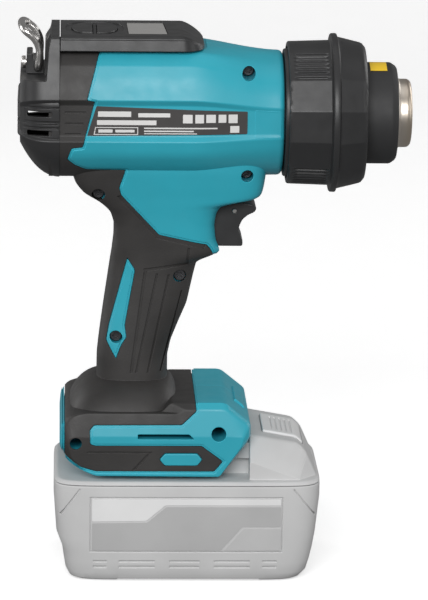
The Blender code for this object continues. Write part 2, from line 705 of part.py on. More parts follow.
def make_hook(mats):
    """Hanging hook, the bracket it turns in and the bracket's screw."""
    wire("hook", hook_path(), HOOK_WIRE_R, mats["chrome"])
    px, pz = HOOK_PIVOT
    side = [(-75.9, 225.5), (-75.9, 230.0), (-77.0, 231.4), (-80.6, 231.4), (-80.8, 234.0),
            (-83.4, 234.0), (-83.6, 225.5)]
    bracket = prism("hook_bracket", side, -10.0, 10.0)
    cut(bracket, rod("bore", (px, -12.0, pz), (px, -HOOK_HALF_SPAN + 8.6, pz), HOOK_WIRE_R + 0.25))
    cut(bracket, rod("bore", (px, HOOK_HALF_SPAN - 8.6, pz), (px, 12.0, pz), HOOK_WIRE_R + 0.25))
    cut(bracket, rod("bore", (-86.0, 0.0, 229.0), (-81.0, 0.0, 229.0), 1.6))
    as_node(bracket, "hook_bracket", mats["black"])
    stepped_rod("hook_screw", (-85.9, 0.0, 229.0), (1, 0, 0),
                [(0.0, 2.2), (0.4, 2.8), (2.0, 2.8), (2.1, 1.3), (4.6, 1.3)], mats["chrome"])


# ---------------------------------------------------------------- barrel pieces

def make_shield(mats):
    """Removable heat shield with its flange."""
    profile = [
        (32.0, 29.6), (32.6, 31.7), (50.4, 32.3), (51.2, 35.1), (53.8, 35.4), (54.8, 33.8), (64.6, 31.4),
        (66.6, 29.4), (66.6, 23.7), (63.8, 23.7), (53.0, 30.6), (36.0, 29.2),
    ]
    return turned("heat_shield", profile, mats["black"])


def make_lock_ring(mats):
    """Fixed ring that the shield turns on, with its sleeve inside the housing."""
    profile = [(23.0, 23.1), (23.0, 23.7), (30.3, 23.7), (31.0, 28.4), (35.6, 28.7), (35.6, 27.4),
               (33.2, 27.0), (33.2, 23.1)]
    return turned("shield_lock_ring", profile, mats["black"])


def make_front_tubes(mats):
    """Outer barrel tube, the steel nozzle and the tube round the heater."""
    sleeve = [(20.0, 22.6), (78.2, 22.6), (80.6, 20.9), (80.9, 16.6), (78.4, 16.6), (78.4, 20.2),
              (20.0, 20.2)]
    turned("barrel_sleeve", sleeve, mats["black"])
    nozzle = [(46.0, 15.3), (78.6, 15.3), (79.0, 16.1), (81.4, 16.1), (82.0, 15.25), (86.4, 15.25),
              (87.4, 14.4), (87.4, 13.2), (46.0, 13.3)]
    turned("nozzle", nozzle, mats["steel"])
    tube = [(-8.0, 15.6), (45.6, 15.6), (45.6, 14.6), (-8.0, 14.6)]
    turned("heater_tube", tube, mats["mica"])
    ring = [(40.0, 19.9), (43.0, 19.9), (43.0, 15.9), (40.0, 15.9)]
    turned("nozzle_spacer", ring, mats["mica"])
    band = [(68.6, 22.9), (68.6, 23.1), (76.0, 23.1), (76.0, 22.9)]
    label = turned("barrel_label", band)
    wedge = [(0.0, 0.0), (-0.9, 30.0), (-13.0, 27.5)]
    sector = [[(x, y, AXIS_Z + z) for y, z in wedge] for x in (60.0, 80.0)]
    keep(label, loft("sector", sector))
    as_node(label, "barrel_label", mats["label"])


def make_heater(mats):
    """Ceramic former with its coil, on the air path's axis."""
    former = [(0.0, 2.0), (0.0, 9.6), (42.0, 9.6), (42.0, 2.0)]
    turned("heater_former", former, mats["ceramic"], INNER_ROUND)
    turns = 5
    steps = 10
    path = []
    for k in range(turns * steps + 1):
        angle = math.tau * k / steps
        x = 3.0 + 36.0 * k / (turns * steps)
        path.append((x, 11.8 * math.cos(angle), AXIS_Z + 11.8 * math.sin(angle)))
    wire("heater_coil", path, 0.8, mats["steel"], 4)
    wire("temperature_probe", [(-6.0, 0.0, AXIS_Z), (52.0, 0.0, AXIS_Z)], 1.2, mats["steel"])


def make_motor(mats):
    """Fan motor, its mount, bearings, shaft and the fan."""
    turned("motor_can", [(-62.0, 5.4), (-62.0, 14.0), (-38.0, 14.0), (-38.0, 5.4), (-39.5, 5.4),
                         (-39.5, 12.6), (-60.5, 12.6), (-60.5, 5.4)], mats["steel"])
    rotor = [(-58.0, 2.1), (-58.0, 10.4), (-42.0, 10.4), (-42.0, 2.1)]
    turned("motor_rotor", rotor, mats["copper"], INNER_ROUND)
    for name, x in (("rear_bearing", -62.0), ("front_bearing", -39.6)):
        turned(name, [(x, 2.1), (x, 5.0), (x + 1.7, 5.0), (x + 1.7, 2.1)], mats["steel"], INNER_ROUND)
    shaft = [(-63.5, 0.0), (-63.5, 1.8), (-21.0, 1.8), (-21.0, 0.0)]
    turned("motor_shaft", shaft, mats["steel"], INNER_ROUND)
    mount = turned("motor_mount", [(-56.0, 14.3), (-56.0, 26.2), (-52.0, 26.2), (-52.0, 14.3)])
    for k in range(6):
        angle = math.tau * k / 6
        y, z = 20.4 * math.cos(angle), AXIS_Z + 20.4 * math.sin(angle)
        cut(mount, rod("hole", (-60.0, y, z), (-48.0, y, z), 4.2, facets=POST_ROUND))
    as_node(mount, "motor_mount", mats["black"])
    hub = [(-34.0, 2.1), (-34.0, 7.0), (-24.0, 7.0), (-24.0, 2.1)]
    fan = turned("fan_impeller", hub, None, INNER_ROUND)
    for k in range(7):
        angle = math.tau * k / 7
        unite(fan, fan_blade(angle))
    as_node(fan, "fan_impeller", mats["fan"])
    guide = [(-14.0, 15.9), (-22.0, 24.0), (-22.0, 25.4), (-12.0, 17.2), (-4.0, 16.9), (-4.0, 15.9)]
    turned("air_guide", guide, mats["mica"])


def fan_blade(angle):
    """One twisted blade of the fan."""
    rings = []
    for radius, twist, thickness in ((5.6, 0.55, 1.0), (14.0, 0.85, 0.8), (22.0, 1.05, 0.7)):
        ring = []
        for along, across in ((-1, -1), (1, -1), (1, 1), (-1, 1)):
            u = 4.4 * along * math.cos(twist) - thickness * across * math.sin(twist)
            v = 4.4 * along * math.sin(twist) + thickness * across * math.cos(twist)
            y = radius * math.cos(angle) - v * math.sin(angle)
            z = radius * math.sin(angle) + v * math.cos(angle)
            ring.append((-29.0 + u, y, AXIS_Z + z))
        rings.append(ring)
    return loft("blade", rings)


# ---------------------------------------------------------------- trigger and electrics

TRIGGER_SIDE = [
    (3.3, 148.0), (2.0, 151.5), (1.5, 156.0), (1.5, 160.0), (2.1, 162.8), (3.1, 165.0), (4.6, 166.7),
    (6.4, 167.3), (13.0, 167.5), (15.5, 167.1), (17.6, 166.6), (18.9, 165.6), (19.1, 164.5), (18.3, 163.3),
    (15.2, 161.9), (13.0, 160.0), (11.8, 157.7), (11.1, 155.3), (12.0, 153.2), (12.8, 150.8),
    (13.1, 149.1), (12.5, 148.1), (11.6, 147.8), (4.0, 147.8),
]
TRIGGER_HALF_WIDTH = 9.0


def make_trigger(mats):
    """Trigger on its pin, the switch it presses and the switch's plunger."""
    px, pz = TRIGGER_PIN
    inner = grow(TRIGGER_SIDE, -0.9)
    rings = [[(x, -TRIGGER_HALF_WIDTH, z) for x, z in inner],
             [(x, -TRIGGER_HALF_WIDTH + 0.9, z) for x, z in TRIGGER_SIDE],
             [(x, TRIGGER_HALF_WIDTH - 0.9, z) for x, z in TRIGGER_SIDE],
             [(x, TRIGGER_HALF_WIDTH, z) for x, z in inner]]
    trigger = loft("trigger", rings)
    cut(trigger, rod("bore", (px, -20.0, pz), (px, 20.0, pz), 1.1))
    as_node(trigger, "trigger", mats["black"])
    rod("trigger_pin", (px, -9.4, pz), (px, 9.4, pz), 1.0, mats["chrome"])
    switch = box("switch_body", (-31.0, -8.0, 150.0), (-5.0, 8.0, 169.0))
    cut(switch, rod("bore", (-12.0, 0.0, 155.0), (0.0, 0.0, 155.0), 2.8))
    as_node(switch, "switch_body", mats["black"])
    rod("switch_plunger", (-8.0, 0.0, 155.0), (1.15, 0.0, 155.0), 2.4, mats["red"])


def make_leads(mats):
    """Pair of leads from the battery terminals up the grip to the switch."""
    for name, y, finish in (("lead_positive", -4.0, mats["red"]), ("lead_negative", 4.0, mats["black"])):
        path = [(-33.0, y, 77.2), (-33.0, y, 88.0), (-34.0, y, 100.0), (-34.0, y, 114.0),
                (-31.0, y, 128.0), (-28.0, y, 140.0), (-27.0, y, 149.6)]
        wire(name, path, 1.3, finish, 6)


def make_terminals(mats):
    """Terminal block under the foot, its two contact blades and the controller board."""
    block = box("terminal_block", (-44.0, -16.0, 63.4), (-16.0, 16.0, 72.0))
    for y in (-7.0, 7.0):
        cut(block, box("slot", (-40.0, y - 0.7, 60.0), (-20.0, y + 0.7, 70.0)))
    as_node(block, "terminal_block", mats["black"])
    for name, y in (("contact_positive", -7.0), ("contact_negative", 7.0)):
        box(name, (-39.6, y - 0.4, 56.5), (-20.4, y + 0.4, 69.6), mats["copper"])
    box("controller_board", (-49.0, -20.0, 74.6), (-19.0, 20.0, 76.2), mats["board"])


# ---------------------------------------------------------------- battery

BATTERY_SQUARENESS = 9.0
BATTERY_POINTS = 32

def battery_ring(z, low_x, high_x, half_width):
    """Rounded rectangle of the battery at one height."""
    outline = superellipse((high_x - low_x) / 2.0, half_width, BATTERY_SQUARENESS, BATTERY_POINTS)
    middle = (high_x + low_x) / 2.0
    return [(middle + u, v, z) for u, v in outline]


BATTERY_SEAM_Z = 44.4
BATTERY_ROWS = [
    (0.0, -60.0, 37.0, 33.0), (1.2, -64.0, 40.5, 36.0), (5.0, -65.8, 43.6, 37.6), (14.0, -67.0, 45.6, 38.2),
    (21.0, -69.6, 46.8, 38.5), (38.0, -70.8, 48.6, 38.5), (BATTERY_SEAM_Z, -70.8, 48.6, 38.4),
]


def make_battery_lower(mats):
    """Open tray that holds the cells."""
    tray = loft("battery_case_lower", [battery_ring(*row) for row in BATTERY_ROWS])
    inner = [battery_ring(z, low + WALL, high - WALL, width - WALL)
             for z, low, high, width in ((3.0, -64.0, 40.0, 36.0), (14.0, -66.0, 45.0, 38.0),
                                         (22.0, -68.0, 46.0, 38.4), (50.0, -70.0, 48.0, 38.4))]
    cut(tray, loft("hollow", inner))
    cut(tray, box("arch", (-43.0, -60.0, -5.0), (22.0, 60.0, 1.2)))
    return as_node(tray, "battery_case_lower", mats["grey"])


FRONT_BLOCK_MIDDLE = [(16.6, 45.5), (16.6, 65.0), (38.0, 61.2), (42.0, 57.5), (47.4, 45.5)]
FRONT_BLOCK_SIDE = [(16.6, 45.5), (16.6, 55.0), (28.0, 50.6), (37.0, 47.6), (42.0, 45.5)]
FRONT_BLOCK_HALF_WIDTH = 34.0
FRONT_BLOCK_TOP_HALF_WIDTH = 24.0
BUTTON_PLAN = (23.0, 41.0, 15.0)       # low x, high x, half width of the release button


def make_battery_upper(mats):
    """Cover with the rails that slide under the foot and the block at the front."""
    rings = [battery_ring(BATTERY_SEAM_Z + GAP, -70.8, 48.6, 38.4),
             battery_ring(DECK_Z - 0.6, -70.4, 48.2, 38.0), battery_ring(DECK_Z, -68.6, 46.8, 36.6)]
    cover = loft("battery_case_upper", rings)
    unite(cover, box("rail", (RAIL_REAR_X, -22.3, 44.9), (17.0, 22.3, 61.5)))
    unite(cover, box("lip", (RAIL_REAR_X, -25.7, 54.3), (17.0, 25.7, 61.5)))
    block = [[(x, y, z) for x, z in outline] for y, outline in (
        (-FRONT_BLOCK_HALF_WIDTH, FRONT_BLOCK_SIDE), (-FRONT_BLOCK_TOP_HALF_WIDTH, FRONT_BLOCK_MIDDLE),
        (FRONT_BLOCK_TOP_HALF_WIDTH, FRONT_BLOCK_MIDDLE), (FRONT_BLOCK_HALF_WIDTH, FRONT_BLOCK_SIDE))]
    unite(cover, loft("block", block))
    low_x, high_x, half = BUTTON_PLAN
    cut(cover, box("pocket", (low_x - GAP, -half - GAP, 48.0), (high_x + GAP, half + GAP, 80.0)))
    for y in (-7.0, 7.0):
        cut(cover, box("slot", (-70.0, y - 1.4, 52.0), (-17.0, y + 1.4, 70.0)))
    cut(cover, box("room", (-52.0, -19.0, 40.0), (12.0, 19.0, 60.0)))
    return as_node(cover, "battery_case_upper", mats["grey"])


def make_battery_button(mats):
    """Release button in the front block, following its slope."""
    low_x, high_x, half = BUTTON_PLAN
    slope = (65.0 - 61.2) / (38.0 - 16.6)
    top_low = 65.0 - slope * (low_x - 16.6) + 1.0
    side = [(low_x, 53.4), (low_x, top_low), (38.0, 62.2), (high_x, 59.4), (high_x, 53.4)]
    return prism("battery_release_button", side, -half, half, mats["light"])


def make_cells(mats):
    """Block of ten cells with its contact strip."""
    holder = box("battery_cells", (-58.0, -31.0, 8.0), (34.4, 31.0, 38.0))
    for k in range(6):
        x = -58.0 + 18.48 * k
        for z in (8.0, 38.0, 23.0):
            tip = 1.6
            side = [(x, z - tip), (x + tip, z), (x, z + tip), (x - tip, z)]
            if z != 23.0 or k in (0, 5):
                cut(holder, prism("groove", side, -40.0, 40.0))
    as_node(holder, "battery_cells", mats["cell"])
    box("battery_board", (-50.0, -17.0, 39.5), (10.0, 17.0, 41.0), mats["board"])
    for name, y in (("battery_socket_positive", -7.0), ("battery_socket_negative", 7.0)):
        socket = box(name, (-44.5, y - 4.0, 41.5), (-19.0, y + 4.0, 59.6), mats["copper"])
        cut(socket, box("slot", (-50.0, y - 1.3, 44.0), (-10.0, y + 1.3, 60.0)))


# ---------------------------------------------------------------- the whole tool

def build():
    """Make every piece."""
    clear_scene()
    mats = make_materials()
    make_housing(mats["teal"])
    make_overmould(mats["soft"])
    make_badge(mats["teal"])
    make_screws(mats["screw"])
    make_rear_cover(mats["black"])
    make_panel(mats)
    make_nameplate(mats["plate"])
    make_hook(mats)
    make_shield(mats)
    make_lock_ring(mats)
    make_front_tubes(mats)
    make_heater(mats)
    make_motor(mats)
    make_trigger(mats)
    make_leads(mats)
    make_terminals(mats)
    make_battery_lower(mats)
    make_battery_upper(mats)
    make_battery_button(mats)
    make_cells(mats)


build()
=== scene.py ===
"""Looks of a cordless heat gun: its fine surfaces, materials, light and camera.

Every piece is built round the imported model, in its frame: +X out of the nozzle, +Z up.
Lengths are in millimetres; every mesh is written in metres by the MM factor.
"""
import json
import math

import bmesh
import bpy
from mathutils import Matrix, Vector


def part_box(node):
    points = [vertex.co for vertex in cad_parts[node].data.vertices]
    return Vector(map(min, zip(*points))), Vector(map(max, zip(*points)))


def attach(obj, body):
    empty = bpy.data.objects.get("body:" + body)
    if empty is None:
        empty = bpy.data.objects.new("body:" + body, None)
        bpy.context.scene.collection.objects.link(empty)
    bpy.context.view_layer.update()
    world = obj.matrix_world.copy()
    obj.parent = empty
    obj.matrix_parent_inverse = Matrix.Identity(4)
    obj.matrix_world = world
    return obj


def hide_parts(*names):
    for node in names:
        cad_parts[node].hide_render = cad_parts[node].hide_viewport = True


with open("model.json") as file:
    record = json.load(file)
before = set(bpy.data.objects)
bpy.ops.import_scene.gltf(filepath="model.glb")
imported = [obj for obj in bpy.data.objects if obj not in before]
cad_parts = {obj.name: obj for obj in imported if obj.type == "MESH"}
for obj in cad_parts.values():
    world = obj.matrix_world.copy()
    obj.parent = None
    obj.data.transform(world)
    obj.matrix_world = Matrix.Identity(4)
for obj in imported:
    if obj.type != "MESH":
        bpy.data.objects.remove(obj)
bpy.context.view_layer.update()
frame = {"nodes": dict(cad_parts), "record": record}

MM = 0.001
GAP = 0.3              # air left between two touching pieces
WALL = 3.0             # wall of the moulded shells
SKIN = 1.5             # depth of the soft overmould
SINK = 0.35            # how far the overmould lies below the hard plastic
MERGE = 3e-6           # metres; points closer than this become one
FLATNESS = 1e-8        # metres; a face further out of flat than this is split in two


def extent(node):
    """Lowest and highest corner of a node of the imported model."""
    low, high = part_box(node)
    return Vector(low) / MM, Vector(high) / MM


def pivot(name):
    """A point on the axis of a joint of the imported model."""
    joints = frame["record"]["behaviour"]["joints"]
    return Vector(next(joint["pos_m"] for joint in joints if joint["name"] == name)) / MM


AXIS_Z = pivot("fan_spin").z
SEAM_X = extent("housing_right")[0].x
BODY_FRONT_X = extent("housing_right")[1].x
FOOT_HALF_WIDTH = extent("housing_left")[1].y
BARREL_HALF_WIDTH = 31.3
BODY_FRONT_R = 28.0
PANEL_TOP_Z = extent("control_panel")[1].z
PANEL_BOTTOM_Z = extent("control_panel")[0].z
PANEL_HALF_WIDTH = extent("control_panel")[1].y


# ---------------------------------------------------------------- solids

def clamp(value, low=0.0, high=1.0):
    """Value held between two limits."""
    return min(max(value, low), high)


def in_scene(name, data):
    """New object in the scene with a mesh, light or camera."""
    item = bpy.data.objects.new(name, data)
    bpy.context.collection.objects.link(item)
    return item


def to_object(name, bm):
    """Turn a closed bmesh into an object with outward faces."""
    bmesh.ops.recalc_face_normals(bm, faces=bm.faces[:])
    mesh = bpy.data.meshes.new(name)
    bm.to_mesh(mesh)
    bm.free()
    return in_scene(name, mesh)


def is_warped(face):
    """Whether a four-sided face is out of flat."""
    a, b, c, d = [vert.co for vert in face.verts]
    normal = (b - a).cross(c - a).normalized()
    return abs(normal.dot(d - a)) > FLATNESS


def loft(name, rings):
    """Closed solid through rings of points that all have the same count."""
    bm = bmesh.new()
    made = [[bm.verts.new(Vector(point) * MM) for point in ring] for ring in rings]
    count = len(made[0])
    for first, second in zip(made, made[1:]):
        for k in range(count):
            after = (k + 1) % count
            bm.faces.new((first[k], first[after], second[after], second[k]))
    warped = [face for face in bm.faces if is_warped(face)]
    bmesh.ops.triangulate(bm, faces=warped, quad_method="FIXED")
    bm.faces.new(made[0])
    bm.faces.new(made[-1])
    return to_object(name, bm)


def both_sides(left):
    """Rings from the right side to the left, from those of the left side alone."""
    return [[(x, -y, z) for x, y, z in ring] for ring in reversed(left)] + left


def prism(name, outline, low_y, high_y):
    """Side outline of (x, z) points, carried across the tool from low_y to high_y."""
    return loft(name, [[(x, y, z) for x, z in outline] for y in (low_y, high_y)])


def upright(name, outline, low_z, high_z):
    """Plan outline of (x, y) points, carried from low_z to high_z."""
    return loft(name, [[(x, y, z) for x, y in outline] for z in (low_z, high_z)])


def box(name, low, high):
    """Block between two corners."""
    return prism(name, oblong(low[0], low[2], high[0], high[2]), low[1], high[1])


def round_points(start, along, radius, facets):
    """Ring of points round an axis."""
    along = Vector(along).normalized()
    side = along.orthogonal().normalized()
    other = along.cross(side)
    angles = [math.tau * k / facets for k in range(facets)]
    return [Vector(start) + radius * (math.cos(a) * side + math.sin(a) * other) for a in angles]


def rod(name, start, along, steps, facets=32):
    """Round bar whose steps are (distance along its axis, radius)."""
    along = Vector(along).normalized()
    rings = [round_points(Vector(start) + along * distance, along, radius, facets)
             for distance, radius in steps]
    return loft(name, rings)


def revolved(name, profile, facets=128, shape=None):
    """Piece round the air path's axis from a closed profile of (x, radius) points.

    The shape, if there is one, gives a change of radius at (x, radius, angle).
    """
    bm = bmesh.new()
    columns = []
    for k in range(facets):
        angle = math.tau * k / facets
        column = []
        for x, radius in profile:
            reach = radius + (shape(x, radius, angle) if shape else 0.0)
            point = Vector((x, -reach * math.cos(angle), AXIS_Z + reach * math.sin(angle)))
            column.append(bm.verts.new(point * MM))
        columns.append(column)
    for k in range(facets):
        here, after = columns[k - 1], columns[k]
        for j in range(len(profile)):
            bm.faces.new((here[j - 1], here[j], after[j], after[j - 1]))
    return to_object(name, bm)


def tidied(mesh):
    """Mesh without the near-zero edges that a Boolean leaves, which would spoil the next one."""
    bm = bmesh.new()
    bm.from_mesh(mesh)
    bmesh.ops.remove_doubles(bm, verts=bm.verts[:], dist=MERGE)
    bmesh.ops.dissolve_degenerate(bm, edges=bm.edges[:], dist=MERGE)
    bm.to_mesh(mesh)
    bm.free()
    return mesh


def combine(base, tool, operation):
    """Boolean base with tool, keep the result in base and drop the tool."""
    modifier = base.modifiers.new("shape", "BOOLEAN")
    modifier.operation = operation
    modifier.object = tool
    modifier.solver = "EXACT"
    bpy.context.view_layer.update()
    evaluated = base.evaluated_get(bpy.context.evaluated_depsgraph_get())
    result = bpy.data.meshes.new_from_object(evaluated)
    base.modifiers.remove(modifier)
    base.data = tidied(result)
    bpy.data.objects.remove(tool, do_unlink=True)
    return base


def cut(base, tool):
    """Take the tool away from base."""
    return combine(base, tool, "DIFFERENCE")


def unite(base, tool):
    """Add the tool to base."""
    return combine(base, tool, "UNION")


def keep(base, tool):
    """Keep what base shares with the tool."""
    return combine(base, tool, "INTERSECT")


def joined(solids):
    """First of the solids with all the others added to it."""
    for other in solids[1:]:
        unite(solids[0], other)
    return solids[0]


def copy_of(item, name):
    """Separate object with its own copy of the mesh."""
    return in_scene(name, item.data.copy())


def drop(*items):
    """Take working objects out of the scene."""
    for item in items:
        bpy.data.objects.remove(item, do_unlink=True)


# ---------------------------------------------------------------- outlines

def grow(outline, distance):
    """Closed outline moved outwards by a distance (inwards if negative)."""
    count = len(outline)
    area = sum(outline[k - 1][0] * outline[k][1] - outline[k][0] * outline[k - 1][1]
               for k in range(count))
    sense = 1.0 if area > 0 else -1.0
    moved = []
    for k in range(count):
        here = Vector(outline[k])
        back = (here - Vector(outline[k - 1])).normalized()
        ahead = (Vector(outline[(k + 1) % count]) - here).normalized()
        first = Vector((back.y, -back.x)) * sense
        second = Vector((ahead.y, -ahead.x)) * sense
        bisector = (first + second).normalized()
        moved.append(tuple(here + bisector * (distance / max(bisector.dot(first), 0.4))))
    return moved


def eased(points, reaches, steps=4, closed=True):
    """Line through the points with each corner replaced by a curve that starts its reach away."""
    count = len(points)
    if not isinstance(reaches, (list, tuple)):
        reaches = [reaches] * count
    made = []
    for k, (point, reach) in enumerate(zip(points, reaches)):
        here = Vector(point)
        if not closed and k in (0, count - 1):
            made.append(here)
            continue
        back = Vector(points[k - 1]) - here
        ahead = Vector(points[(k + 1) % count]) - here
        reach = min(reach, 0.48 * back.length, 0.48 * ahead.length)
        start = here + back.normalized() * reach
        end = here + ahead.normalized() * reach
        for j in range(steps + 1):
            t = j / steps
            made.append(start * (1.0 - t) ** 2 + here * (2.0 * t * (1.0 - t)) + end * t ** 2)
    return made


def superellipse(half_length, half_width, power, count):
    """Rounded rectangle as (u, v) points; a higher power has squarer corners."""
    points = []
    for k in range(count):
        angle = math.tau * (k + 0.5) / count
        c, s = math.cos(angle), math.sin(angle)
        u = half_length * math.copysign(abs(c) ** (2.0 / power), c)
        v = half_width * math.copysign(abs(s) ** (2.0 / power), s)
        points.append((u, v))
    return points


def oblong(u0, v0, u1, v1):
    """Rectangle between two corners."""
    return [(u0, v0), (u1, v0), (u1, v1), (u0, v1)]


def quarter_turn(steps):
    """Sine and cosine from nought to a quarter turn, with both ends."""
    angles = [math.pi / 2.0 * k / steps for k in range(steps + 1)]
    return [(math.sin(angle), math.cos(angle)) for angle in angles]


def mirrored(half):
    """Closed ring from its right half, whose first and last points are on the middle plane."""
    return half + [(-y, z) for y, z in reversed(half[1:-1])]


# ---------------------------------------------------------------- outer shape of the housing

# Right half of the barrel from its top to its bottom: y, z and the corner's ease at the rear,
# then the angle from the top, the depth below the round and the ease at the front
BARREL_CORNERS = [
    (0.0, 238.6, 3.0, 0.0, 0.0, 5.0), (-12.0, 238.4, 4.0, 14.0, 0.0, 5.0),
    (-22.0, 237.2, 1.8, 32.0, 0.0, 6.0), (-26.3, 232.0, 0.6, 48.0, 0.0, 6.0),
    (-29.3, 225.0, 3.0, 61.0, 0.0, 5.0), (-31.3, 217.2, 0.4, 76.5, 0.0, 0.8),
    (-29.6, 214.8, 0.4, 80.0, 0.9, 0.5), (-29.6, 201.2, 0.4, 101.0, 0.9, 0.5),
    (-31.3, 198.8, 0.4, 104.5, 0.0, 0.8), (-29.8, 192.5, 3.0, 118.0, 0.0, 5.0),
    (-24.5, 186.3, 3.0, 134.0, 0.0, 5.0), (-17.0, 181.0, 3.0, 150.0, 0.0, 5.0),
    (-8.0, 178.6, 3.0, 166.0, 0.0, 5.0), (0.0, 178.0, 3.0, 180.0, 0.0, 5.0),
]
BLEND_START_X = -12.0
BLEND_STEP = 2.0
BARREL_EDGE = 2.2      # radius of the barrel's front edge
EDGE_STEPS = 5
SEAM_OVERLAP = 5.0     # how far a cavity's tool reaches back through the open rear


def barrel_section(x, inset):
    """Closed ring of the barrel at x, moved inwards by the inset."""
    share = clamp((x - BLEND_START_X) / (BODY_FRONT_X - BLEND_START_X))
    share = share * share * (3.0 - 2.0 * share)
    half = []
    reaches = []
    for y, z, rear_reach, degrees, depth, front_reach in BARREL_CORNERS:
        angle = math.radians(degrees)
        radius = BODY_FRONT_R - depth
        front = (-radius * math.sin(angle), AXIS_Z + radius * math.cos(angle))
        half.append((y + (front[0] - y) * share, z + (front[1] - z) * share))
        reaches.append(rear_reach + (front_reach - rear_reach) * share)
    ring = grow(mirrored(half), -inset)
    return [(x, y, z) for y, z in eased(ring, reaches + reaches[-2:0:-1])]


def barrel_solid(name, inset, low_x=SEAM_X):
    """Barrel from the seam to its rounded front edge."""
    steps = round((BODY_FRONT_X - BARREL_EDGE - BLEND_START_X) / BLEND_STEP)
    last = BODY_FRONT_X - BARREL_EDGE - inset
    stations = [low_x, -40.0]
    stations += [BLEND_START_X + (last - BLEND_START_X) * k / steps for k in range(steps + 1)]
    rings = [barrel_section(x, inset) for x in stations]
    for sine, cosine in quarter_turn(EDGE_STEPS)[1:]:
        rings.append(barrel_section(last + BARREL_EDGE * sine, inset + BARREL_EDGE * (1.0 - cosine)))
    return loft(name, rings)


# Neck and grip: height, rear x, front x, half width, squareness
NECK_ROWS = [
    (80.0, -52.2, -19.5, 16.4, 2.8), (97.0, -52.0, -19.5, 16.2, 2.8), (104.0, -51.3, -18.0, 15.8, 2.8),
    (112.0, -50.3, -14.8, 15.4, 2.8), (121.0, -49.1, -11.0, 15.2, 2.8), (135.0, -47.1, -8.0, 15.4, 2.8),
    (140.5, -46.3, -6.6, 15.8, 2.9), (143.9, -45.7, 1.2, 16.2, 3.4), (144.4, -45.6, 3.5, 16.3, 3.6),
    (146.4, -45.4, 3.9, 16.4, 3.8), (151.0, -44.8, 1.5, 16.9, 4.2), (158.0, -44.8, 0.6, 17.6, 4.6),
    (163.7, -46.6, 1.5, 18.3, 5.0), (167.4, -50.5, 4.4, 18.9, 5.2),
]
# Nose above the trigger; these rows also rise with the inset
NOSE_ROWS = [
    (168.5, -52.5, 8.0, 19.1, 5.4), (169.1, -53.6, 18.6, 19.2, 5.4), (171.6, -58.4, 21.4, 19.6, 5.4),
    (176.0, -62.0, 22.4, 20.6, 5.4), (183.0, -64.5, 23.4, 22.0, 5.0), (192.0, -64.5, 24.0, 22.5, 5.0),
]
NECK_POINTS = 60
NECK_STEP = 1.1
NECK_SPREAD = 1.3      # height over which the neck's outline is evened out


def row_at(rows, z):
    """Row of the neck at a height, between the given ones."""
    for low, high in zip(rows, rows[1:]):
        if z <= high[0]:
            break
    share = clamp((z - low[0]) / (high[0] - low[0]))
    return [a + (b - a) * share for a, b in zip(low, high)]


def even_rows(rows):
    """Rows at even heights, each the mean of the outline just below and above it."""
    bottom, top = rows[0][0], rows[-1][0]
    count = math.ceil((top - bottom) / NECK_STEP)
    made = []
    for k in range(count + 1):
        z = bottom + (top - bottom) * k / count
        near = [row_at(rows, z + NECK_SPREAD * j / 3.0) for j in range(-3, 4)]
        made.append([z] + [sum(values) / len(near) for values in list(zip(*near))[1:]])
    return made


def neck_ring(row, inset):
    """Closed ring of the neck at one height."""
    z, rear, front, half_width, power = row
    middle = (front + rear) / 2.0
    outline = superellipse((front - rear) / 2.0 - inset, half_width - inset, power, NECK_POINTS)
    return [(middle + u, v, z) for u, v in outline]


def neck_solid(name, inset):
    """Grip, neck and the nose above the trigger."""
    rows = NECK_ROWS + [(z + inset, *sizes) for z, *sizes in NOSE_ROWS]
    return loft(name, [neck_ring(row, inset) for row in even_rows(rows)])


# Side outlines of the foot as (x, z), all with the same count: over its flat top, at the top
# of its leaning side, and on its upright side
FOOT_TOP_OUTLINE = [
    (3.0, 48.0), (15.4, 63.5), (16.8, 66.5), (16.8, 72.2), (5.4, 81.4), (-19.0, 81.4), (-23.0, 77.3),
    (-59.0, 77.3), (-64.5, 76.0), (-67.6, 72.0), (-68.5, 62.0), (-65.0, 55.0), (-58.0, 50.2), (-52.0, 48.0),
]
FOOT_SHOULDER_OUTLINE = [
    (3.0, 48.0), (14.8, 63.5), (16.0, 66.5), (16.0, 71.0), (5.6, 78.9), (-12.5, 78.9), (-15.4, 77.3),
    (-58.0, 77.3), (-63.0, 75.6), (-66.4, 71.0), (-67.4, 62.0), (-64.6, 55.2), (-57.8, 50.4), (-52.0, 48.2),
]
FOOT_SIDE_OUTLINE = [
    (3.0, 48.6), (10.6, 59.4), (12.7, 62.5), (13.9, 66.9), (6.5, 66.9), (-12.5, 66.9), (-17.0, 66.9),
    (-56.0, 66.9), (-60.4, 66.9), (-64.8, 66.5), (-65.0, 62.0), (-63.0, 55.8), (-57.4, 51.2), (-52.0, 48.9),
]
FOOT_EASE = [0.8, 1.2, 1.0, 1.6, 2.0, 1.2, 1.2, 3.0, 3.0, 3.0, 3.0, 2.5, 2.5, 1.5]
FOOT_STATIONS = [
    (31.6, FOOT_TOP_OUTLINE), (34.2, FOOT_SHOULDER_OUTLINE), (FOOT_HALF_WIDTH, FOOT_SIDE_OUTLINE),
    (FOOT_HALF_WIDTH, grow(FOOT_SIDE_OUTLINE, -0.9)),
]


def foot_body(name, inset):
    """Foot's box, below the rounded shoulder, with its edges eased."""
    outlines = []
    for y, outline in FOOT_STATIONS:
        edge = eased(grow(outline, -inset), FOOT_EASE, 3)
        outlines.append([(x, y - inset, z) for x, z in edge])
    columns = [eased(column, [0.0, 0.8, 0.9, 0.0], 3, closed=False) for column in zip(*outlines)]
    return loft(name, both_sides([list(ring) for ring in zip(*columns)]))


